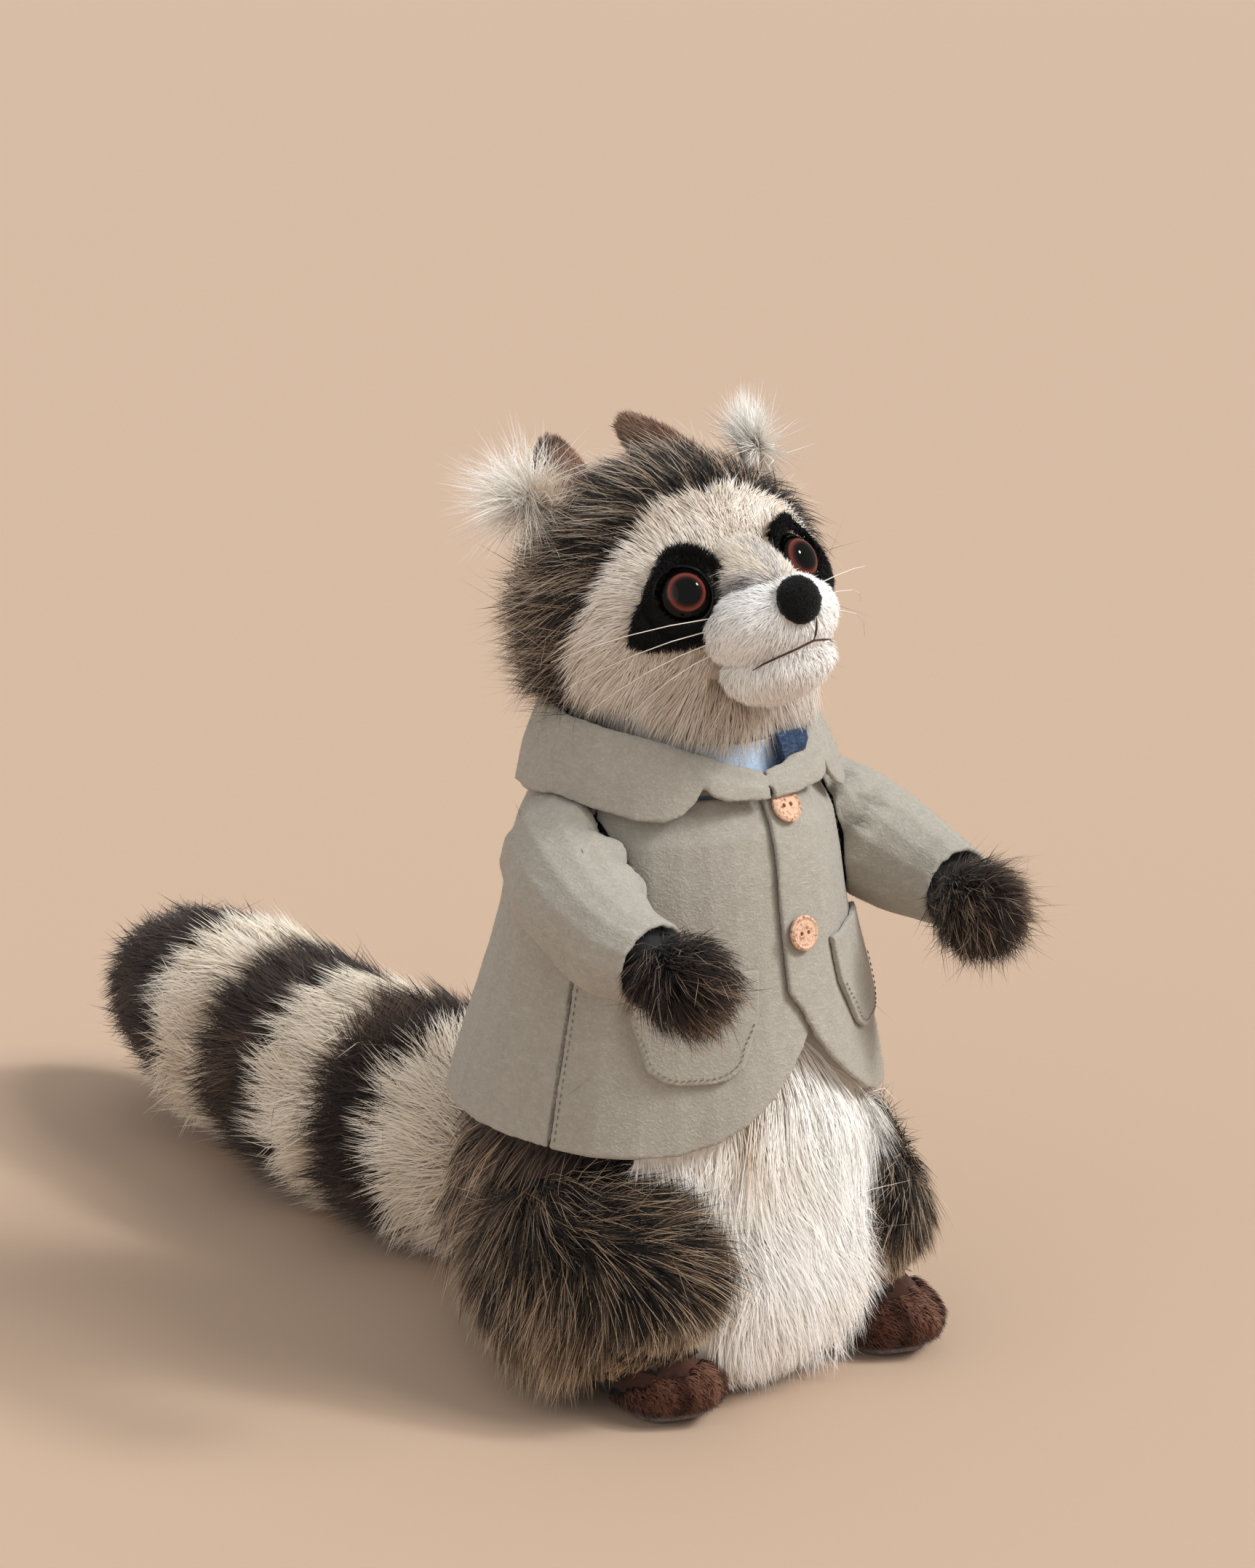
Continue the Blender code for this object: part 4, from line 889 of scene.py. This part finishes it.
EYE_GLASS = eye_look()
RIM = mottled("rim_plastic", 0.34, 900.0, (30, 30, 32), (52, 52, 55))
EYE_SPLAY, EYE_RISE = radians(15.0), radians(7.0)
EYE_RADIUS, EYE_HIGH, EYE_SET = 9.35, 7.9, 3.0 * MM
LID = [(9.7, -3.4), (12.7, -3.2), (12.3, -1.6), (11.65, -0.2), (11.2, 0.9), (10.6, 1.5), (10.1, 1.65),
       (9.8, 1.3), (9.7, 0.5)]
dome = [(8.6, -4.0), (9.1, -1.5), (EYE_RADIUS, 0.6)]
dome += [(EYE_RADIUS * cos(a) ** 0.85, 0.6 + EYE_HIGH * sin(a)) for a in np.linspace(0.08, 1.5, 14)]
for side, word in SIDES:
    look = unit(head_way(sin(EYE_SPLAY) * side, cos(EYE_SPLAY), sin(EYE_RISE)))
    lid_points = solid(f"eye_rim_{word}")[0]
    centre = lid_points.mean(0)
    centre = centre + look * ((lid_points - centre) @ look).min() + look * EYE_SET
    eye = turned(f"eye_{word}_glass", dome, centre, look, EYE_GLASS)
    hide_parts(f"eye_{word}")
    rim = turned(f"eye_rim_{word}_lid", LID, centre, look, RIM, close=False)
    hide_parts(f"eye_rim_{word}")

# Whiskers: lines of clear nylon, knotted inside the muzzle and led out through its plush.
# Their solids stay as they are, in a nylon finish.
NYLON = mottled("whisker_nylon", 0.3, 120.0, (214, 204, 190), (240, 232, 220))
for name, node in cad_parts.items():
    if name.startswith("whisker"):
        node.data.materials.clear()
        node.data.materials.append(NYLON)
        node.data.polygons.foreach_set("use_smooth", np.ones(len(node.data.polygons), bool))

# Jacket: thick warm-grey wool felt, cut without hems. A back and two fronts are sewn at the
# sides, and the left front laps over the right one. The cloth hangs in slow waves at the hem.


def cloth_grain():
    """Node group: wool fibres as a colour and a height, from three felt colours."""
    group = bpy.data.node_groups.new("felt_fibre", "ShaderNodeTree")
    for name in ("Base", "Shade", "Fibre"):
        group.interface.new_socket(name, in_out="INPUT", socket_type="NodeSocketColor")
    group.interface.new_socket("Color", in_out="OUTPUT", socket_type="NodeSocketColor")
    group.interface.new_socket("Height", in_out="OUTPUT", socket_type="NodeSocketFloat")
    given, out = group.nodes.new("NodeGroupInput"), group.nodes.new("NodeGroupOutput")
    place = add(group, "TexCoord").outputs["Object"]

    def noise(scale, detail, vector=place):
        return add(group, "TexNoise", {"Vector": vector, "Scale": scale, "Detail": detail}).outputs["Fac"]

    def fibres(scale, high, stretch, turn):
        """Fibres that all lie one way."""
        bent = add(group, "Mapping", {"Vector": place, "Rotation": turn, "Scale": stretch})
        return spread(group, noise(scale, 3.0, bent.outputs[0]), 0.50, high)

    cloud = blend(group, spread(group, noise(260.0, 6.0), 0.30, 0.72),
                  given.outputs["Base"], given.outputs["Shade"])
    lint = add(group, "Math", {0: fibres(900.0, 0.74, (1.0, 0.22, 1.0), (0.3, 0.9, 0.5)),
                               1: fibres(980.0, 0.76, (0.25, 1.0, 1.0), (0.9, 0.2, 1.4))},
               operation="MAXIMUM").outputs[0]
    group.links.new(blend(group, lint, cloud, given.outputs["Fibre"]), out.inputs["Color"])
    total = add(group, "Math", {0: lint, 1: noise(1300.0, 5.0)}, operation="ADD")
    group.links.new(total.outputs[0], out.inputs["Height"])
    return group


CLOTH_GRAIN = cloth_grain()


def cloth_look(name, base, shade, fibre, rough=0.95, depth=0.25, sheen=0.25):
    """A woven or felted finish: three colours and how deep its fibres stand."""
    made, tree, shader = shader_of(name, rough)
    wool = add(tree, "Group", {"Base": (*linear(*base), 1), "Shade": (*linear(*shade), 1),
                               "Fibre": (*linear(*fibre), 1)}, node_tree=CLOTH_GRAIN)
    bump = add(tree, "Bump", {"Distance": 0.0006, "Strength": depth, "Height": wool.outputs["Height"]})
    tree.links.new(wool.outputs["Color"], shader.inputs["Base Color"])
    tree.links.new(bump.outputs["Normal"], shader.inputs["Normal"])
    shader.inputs["Sheen Weight"].default_value = sheen
    shader.inputs["Specular IOR Level"].default_value = 0.15
    return made


FELT = cloth_look("jacket_felt", (162, 157, 146), (154, 148, 137), (171, 166, 156), depth=0.32)
NAP = fur_look("felt_nap", ((142, 137, 127), (154, 149, 138), (166, 161, 151)),
               ((156, 151, 140), (168, 163, 152), (180, 175, 165)),
               ((168, 163, 153), (182, 177, 167), (196, 192, 183)), 0.3, 0.95, 0.2)


def softened(name, node, fine, keep, rounds, move, material):
    """A solid of cloth as a finer mesh with rounded edges, then moved into its folds.

    fine is the size of the cells in millimetres, and keep the share of the faces that stays.
    """
    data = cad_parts[node].data.copy()
    form = bpy.data.objects.new(name, data)
    bpy.context.scene.collection.objects.link(form)
    weld = form.modifiers.new("weld", "WELD")
    weld.merge_threshold = WELD
    cells = form.modifiers.new("cells", "REMESH")
    cells.mode = "VOXEL"
    cells.voxel_size = fine * MM
    ease = form.modifiers.new("ease", "SMOOTH")
    ease.factor, ease.iterations = 0.5, rounds
    fewer = form.modifiers.new("fewer", "DECIMATE")
    fewer.ratio = keep
    bpy.context.view_layer.update()
    made = bpy.data.meshes.new_from_object(form.evaluated_get(bpy.context.evaluated_depsgraph_get()))
    form.modifiers.clear()
    form.data = made
    bpy.data.meshes.remove(data)
    points = mesh_points(made) if move is None else move(mesh_points(made))
    made.vertices.foreach_set("co", points.astype(np.float32).ravel())
    made.update()
    made.polygons.foreach_set("use_smooth", np.ones(len(made.polygons), bool))
    made.materials.clear()
    made.materials.append(material)
    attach(form, "root")
    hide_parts(node)
    return form


def cut_area(node):
    """The flat area of the cloth of a node: half the surface of its solid."""
    points, faces = solid(node)
    a, b, c = (points[faces[:, k]] for k in range(3))
    return float(np.linalg.norm(np.cross(b - a, c - a), axis=1).sum() / 4)


def nap(piece, count, seed, long=1.6, wide=0.09):
    """Loose fibres that stand off a piece of felt, as one mesh that goes with it."""
    rng = np.random.default_rng(seed + 500)
    points, faces = mesh_points(piece.data), mesh_faces(piece.data)
    a, b, c = (points[faces[:, k]] for k in range(3))
    cross = np.cross(b - a, c - a)
    area = np.linalg.norm(cross, axis=1)
    picked = rng.choice(len(faces), count, p=area / area.sum())
    at = (a[picked] + b[picked] + c[picked]) / 3
    at = at + (b[picked] - a[picked]) * rng.uniform(-0.3, 0.3, (count, 1))
    out = unit(cross[picked])
    way = rng.normal(size=(count, 3)) + drift(at, 0.01, seed) * 0.6
    made = ribbons(at - out * 0.1 * MM, out, way, np.full(count, long * MM) * rng.uniform(0.5, 1.4, count),
                   np.full(count, wide * MM), rng.uniform(0, 1, count), 0.55, 0.0, 1, None, 1, rng)
    fibres = mesh_object(piece.name + "_nap", *made, NAP)
    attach(fibres, "root")


COAT_SHIFT = 2.5 * MM
HEM, NECK = 96.5 * MM, 216.0 * MM
BUTTONED = radians(12), radians(22)


def hang(points):
    """Slow waves that grow towards the hem and die out at the buttoned fronts."""
    x, y, z = points[:, 0], points[:, 1] - COAT_SHIFT, points[:, 2]
    turn = np.arctan2(x, -y)
    out = unit(np.stack([x, y, 0 * z], 1))
    low = ((NECK - 0.02 - z) / (NECK - HEM)).clip(0, 1)
    free = ((np.abs(turn) - BUTTONED[0]) / BUTTONED[1]).clip(0, 1)
    wave = 1.5 * np.sin(turn * 5 + 0.7) + 0.9 * np.sin(turn * 9 + 2.0 + z * 25)
    small = (drift(points * np.array([1, 1, 0.6]), 0.022, 131)[:, 0] * 0.7
             + drift(points * np.array([1, 1, 0.4]), 0.009, 132)[:, 0] * 0.28)
    return points + out * ((wave * low ** 1.6 * free + small * (0.35 + 0.65 * free)) * MM)[:, None]


COAT_BACK = softened("jacket_back_felt", "jacket_back", 1.1, 0.26, 5, hang, FELT)
cut_area("jacket_back")
COAT_RIGHT = softened("jacket_front_right_felt", "jacket_front_right", 0.9, 0.26, 4, hang, FELT)
cut_area("jacket_front_right")


EDGE_BELLY, EDGE_HIGH, EDGE_BROAD = 6.5 * MM, 46 * MM, 16 * MM


def fuller(points):
    """The left front's lower edge bellies out between the last button and the hem."""
    points = hang(points)
    turn = np.arctan2(points[:, 0], COAT_SHIFT - points[:, 1])
    radius = np.hypot(points[:, 0], points[:, 1] - COAT_SHIFT)
    levels = np.linspace(points[:, 2].min(), points[:, 2].max(), 60)
    edge = [turn[np.abs(points[:, 2] - z) < 2 * MM].min() for z in levels]
    beside = (turn - np.interp(points[:, 2], levels, edge)) * radius
    low = ((points[:, 2] - levels[0]) / EDGE_HIGH).clip(0, 1)
    turn = turn - EDGE_BELLY * np.sin(pi * low ** 0.8) * np.exp(-(beside / EDGE_BROAD) ** 2) / radius
    return np.stack([np.sin(turn) * radius, COAT_SHIFT - np.cos(turn) * radius, points[:, 2]], 1)


COAT_LEFT = softened("jacket_front_left_felt", "jacket_front_left", 0.9, 0.26, 4, fuller, FELT)
cut_area("jacket_front_left")
for piece, count in ((COAT_BACK, 12000), (COAT_RIGHT, 7000), (COAT_LEFT, 7000)):
    nap(piece, count, seed=len(piece.name))

# Thread: the edges of the back and the fronts are caught together at each side by a cord of
# twisted thread, and a row of small stitches runs beside each seam, round each pocket and
# along each sleeve. The mouth's brown thread is made here in the same way.
THREAD = cloth_look("jacket_thread", (118, 113, 103), (100, 95, 86), (144, 139, 129), depth=0.4)
STITCH, SEAM_CORD, MOUTH_CORD = 0.27, 0.75, 0.42
THREAD_SIDES = 6


def threads(name, paths, radius, material=THREAD):
    """Round threads along paths of points, each with closed, drawn-in ends, as one piece."""
    sides = THREAD_SIDES
    points, faces, looks = [], [], []
    for path in paths:
        path = np.asarray(path, float)
        along = unit(np.gradient(path, axis=0))
        across = unit(np.cross(along, np.array([0.31, 0.83, 0.46])))
        other = np.cross(along, across)
        girth = np.full(len(path), radius * MM)
        girth[[0, -1]] *= 0.35
        start = len(points)
        for at, a, b, r in zip(path, across, other, girth):
            for k in range(sides):
                way = a * cos(2 * pi * k / sides) + b * sin(2 * pi * k / sides)
                points.append(at + way * r)
                looks.append(way)
        for i in range(len(path) - 1):
            for k in range(sides):
                a, b = start + i * sides + k, start + i * sides + (k + 1) % sides
                faces += [(a, b, b + sides), (a, b + sides, a + sides)]
        last = start + (len(path) - 1) * sides
        for k in range(1, sides - 1):
            faces += [(start, start + k + 1, start + k), (last, last + k, last + k + 1)]
    points = np.array(points)
    chart = points[:, [0, 2]] * 40
    piece = mesh_object(name, points, np.array(faces), np.array(looks), chart, material)
    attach(piece, "root")
    return piece


BROWN_THREAD = cloth_look("mouth_thread", (74, 52, 42), (58, 40, 32), (98, 72, 58), depth=0.3)
mouth_lines = [[HEAD_AT + head_way(*p) * MM for p in line] for line in (MOUTH_STITCH, LIP_STITCH)]
mouth = threads("mouth_stitches", mouth_lines, MOUTH_CORD, BROWN_THREAD)


def stitch_row(path, long=1.5, pitch=2.6):
    """Short pieces of a path, one for each stitch."""
    path = np.asarray(path)
    gone = np.concatenate([[0], np.cumsum(np.linalg.norm(np.diff(path, axis=0), axis=1))]) / MM

    def place(far):
        return np.array([np.interp(far, gone, path[:, k]) for k in range(3)])

    starts = np.arange(0.4, gone[-1] - long, pitch)
    return [[place(far), place(far + long / 2), place(far + long)] for far in starts]


def side_edge(piece, side, pick, heights):
    """Where a panel of the coat ends at the side, level by level: turn and outer radius."""
    points = mesh_points(piece.data)
    turn = np.arctan2(points[:, 0] * side, COAT_SHIFT - points[:, 1])
    radius = np.hypot(points[:, 0], points[:, 1] - COAT_SHIFT)
    found = []
    for z in heights:
        near = (np.abs(points[:, 2] - z) < 1.6 * MM) & (points[:, 0] * side > 0)
        edge = pick(turn[near])
        found.append((edge, radius[near][np.abs(turn[near] - edge) < 0.05].max()))
    return np.array(found)


SEAM_TOP = 158 * MM
STITCH_INSET = 2.6 * MM
for side, word, front in ((-1, "right", COAT_RIGHT), (1, "left", COAT_LEFT)):
    heights = np.linspace(HEM + 2.5 * MM, SEAM_TOP, 34)
    rear = side_edge(COAT_BACK, side, np.min, heights)
    fore = side_edge(front, side, np.max, heights)
    turn, radius = (rear[:, 0] + fore[:, 0]) / 2, (rear[:, 1] + fore[:, 1]) / 2

    def around(turn, radius, side=side, heights=heights):
        return np.stack([np.sin(turn) * radius * side, COAT_SHIFT - np.cos(turn) * radius, heights], 1)

    threads(f"side_seam_{word}", [around(turn, radius - SEAM_CORD * MM)], SEAM_CORD)
    beside = around(turn - STITCH_INSET / radius, fore[:, 1] - 0.05 * MM)
    threads(f"side_stitches_{word}", stitch_row(beside), STITCH)

# Sleeves: tubes of the same felt over the arms, sewn in at the armholes. Their heads stand out a
# little, they crease in the crook of each elbow, where the arms turn forwards, and a seam runs
# along the top of each.
SLEEVE_LINE = np.array([(45, 1, 194), (56, -6, 192), (63, -20, 187), (69, -38, 180), (71.5, -56, 175),
                        (70.5, -69, 173)], float) * MM


def along_line(points, line):
    """How far along a line each point lies, in millimetres, and its direction away from the line."""
    best, far = np.full(len(points), 1e9), np.zeros(len(points))
    away = np.zeros_like(points)
    start = 0.0
    for a, b in zip(line, line[1:]):
        span = np.linalg.norm(b - a)
        t = ((points - a) @ (b - a) / span ** 2).clip(0, 1)
        apart = points - (a + (b - a) * t[:, None])
        gone = np.linalg.norm(apart, axis=1)
        near = gone < best
        best[near], far[near] = gone[near], (start + t * span)[near] / MM
        away[near] = apart[near]
        start += span
    return far, unit(away)


# Each crease has its place along the sleeve, its width and its height.
CREASES = ((22, 3.0, -3.4), (15, 4.0, 2.0), (29, 4.2, 2.4), (36, 2.8, -2.2), (43, 4.0, 1.3))


def creased(side):
    """Creased in the crook of the elbow, and fuller under the cuff and at the head."""
    line = SLEEVE_LINE * np.array([side, 1, 1])
    crook = unit(np.array([-0.70 * side, -0.60, 0.25]))

    def move(points):
        far, away = along_line(points, line)
        inner = (away @ crook).clip(0, 1) ** 1.5
        fold = sum(size * np.exp(-((far - at) / width) ** 2) for at, width, size in CREASES)
        swell = (-away[:, 2]).clip(0, 1) * 1.2 * np.exp(-((far - 55) / 12) ** 2)
        swell = swell + 3.2 * np.exp(-(far / 8) ** 2) + 0.8 * np.exp(-((far - 10) / 5) ** 2)
        small = drift(points, 0.012, 141 + side)[:, 1] * 0.8
        return points + away * ((fold * inner + swell + small) * MM)[:, None]

    return move


for side, word in SIDES:
    sleeve = softened(f"sleeve_{word}_felt", f"sleeve_{word}", 0.9, 0.28, 8, creased(side), FELT)
    min(cut_area(f"sleeve_{word}"), 0.128 * 0.092)
    nap(sleeve, 7000, seed=143 + side)
    skin = mesh_points(sleeve.data)
    far, away = along_line(skin, SLEEVE_LINE * np.array([side, 1, 1]))
    seam = []
    on_top = unit(np.array([0.25 * side, -0.45, 0.86]))
    for at in range(24, 66, 2):
        near = np.flatnonzero(np.abs(far - at) < 1.2)
        if len(near):
            best = near[np.argmax(away[near] @ on_top)]
            seam.append(skin[best] + away[best] * 0.05 * MM)
    seam = np.array([np.mean(seam[max(0, k - 2):k + 3], axis=0) for k in range(len(seam))])
    threads(f"sleeve_stitches_{word}", stitch_row(seam, 2.0, 2.8), STITCH)

# Collar: one strip of felt, folded over a stand, notched at each front and ending in the lapels.
# It is sewn into the neck of the coat, and at the back its own weight settles it on the
# shoulders.
SETTLED = 6.5 * MM


def settled(points):
    """Slightly uneven, and drawn down and in over the shoulders at the back."""
    behind = ((points[:, 1] + 0.002) / 0.022).clip(0, 1)
    rear = points[points[:, 1] > 0.02]
    low, high = rear[:, 2].min(), rear[:, 2].max()
    hem = ((high - points[:, 2]) / (high - low)).clip(0, 1) * behind
    outer = points + drift(points, 0.02, 151) * 0.35 * MM
    outer[:, 2] -= SETTLED * hem
    return outer


COLLAR = softened("collar_felt", "collar", 0.8, 0.24, 3, settled, FELT)
min(cut_area("collar"), 0.40 * 0.052)
nap(COLLAR, 8000, seed=153)

# Pockets: U-shaped patches of the same felt, laid on the fronts and sewn on near their cut edges
# with one row of small stitches. They are open at the top.
for side, word in SIDES:
    pocket = softened(f"pocket_{word}_felt", f"pocket_{word}", 0.6, 0.4, 2, hang, FELT)
    min(cut_area(f"pocket_{word}"), 0.046 * 0.042)
    nap(pocket, 1500, seed=155 + side)
    skin = mesh_points(pocket.data)
    radius = np.hypot(skin[:, 0], skin[:, 1] - COAT_SHIFT)
    flat = np.stack([np.arctan2(skin[:, 0], COAT_SHIFT - skin[:, 1]) * radius.mean(), skin[:, 2]], 1)
    mid = (flat.min(0) + flat.max(0)) / 2
    aside = flat - mid
    bearing, reach = np.arctan2(aside[:, 1], aside[:, 0]), np.hypot(*aside.T)
    row = []
    for turn in np.linspace(radians(172), radians(368), 44):
        near = np.abs((bearing - turn + pi) % (2 * pi) - pi) < radians(7)
        at = mid + np.array([cos(turn), sin(turn)]) * (reach[near].max() - STITCH_INSET)
        out = radius[np.linalg.norm(flat - at, axis=1) < 2.0 * MM].max() + 0.02 * MM
        turned_to = at[0] / radius.mean()
        row.append((sin(turned_to) * out, COAT_SHIFT - cos(turned_to) * out, at[1]))
    row = np.array([np.mean(row[max(0, k - 1):k + 2], axis=0) for k in range(len(row))])
    threads(f"pocket_stitches_{word}", stitch_row(row, 1.3, 2.2), STITCH)

# Shirt front and tie: a light blue twill bib that is stretched over the chest in the V of the
# jacket, and a short dark blue woven tie sewn on top of it.
TWILL = cloth_look("shirt_twill", (196, 216, 240), (182, 204, 232), (216, 230, 246), 0.85, 0.2, 0.1)
WOVEN = cloth_look("tie_woven", (46, 62, 88), (36, 50, 74), (74, 92, 120), 0.85, 0.3, 0.1)
SHIRT = softened("shirt_front_twill", "shirt_front", 0.6, 0.3, 3, None, TWILL)
min(cut_area("shirt_front"), 0.102 * 0.040)
TIE = softened("tie_woven", "tie", 0.4, 0.4, 4, None, WOVEN)

# Soles: thin pads of light grey satin, sewn under the feet. Only their edges show, since the toy
# sits with its feet flat on the floor.
SATIN = cloth_look("sole_satin", (112, 104, 102), (96, 89, 87), (134, 126, 124), 0.5, 0.1, 0.0)
for _, word in SIDES:
    sole = softened(f"sole_{word}_satin", f"sole_{word}", 0.5, 0.4, 3, None, SATIN)

# Buttons: turned discs of pale cork with brown specks, sewn on through two holes. Their solids
# stay as they are, in a cork finish with small pits.
CORK, cork_tree, cork_shader = shader_of("button_cork", 0.75)
cork_place = add(cork_tree, "TexCoord").outputs["Object"]
specks = add(cork_tree, "TexNoise", {"Vector": cork_place, "Scale": 700.0, "Detail": 3.0})
cork_tint = blend(cork_tree, spread(cork_tree, specks.outputs["Fac"], 0.52, 0.66),
                  (216, 178, 152), (150, 98, 70))
cork_tree.links.new(cork_tint, cork_shader.inputs["Base Color"])
cells = add(cork_tree, "TexVoronoi", {"Vector": cork_place, "Scale": 900.0})
cork_bump = add(cork_tree, "Bump", {"Distance": 0.0004, "Strength": 0.5, "Height": cells.outputs["Distance"]})
cork_tree.links.new(cork_bump.outputs["Normal"], cork_shader.inputs["Normal"])
for name in ("button_upper", "button_lower"):
    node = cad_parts[name]
    node.data.materials.clear()
    node.data.materials.append(CORK)
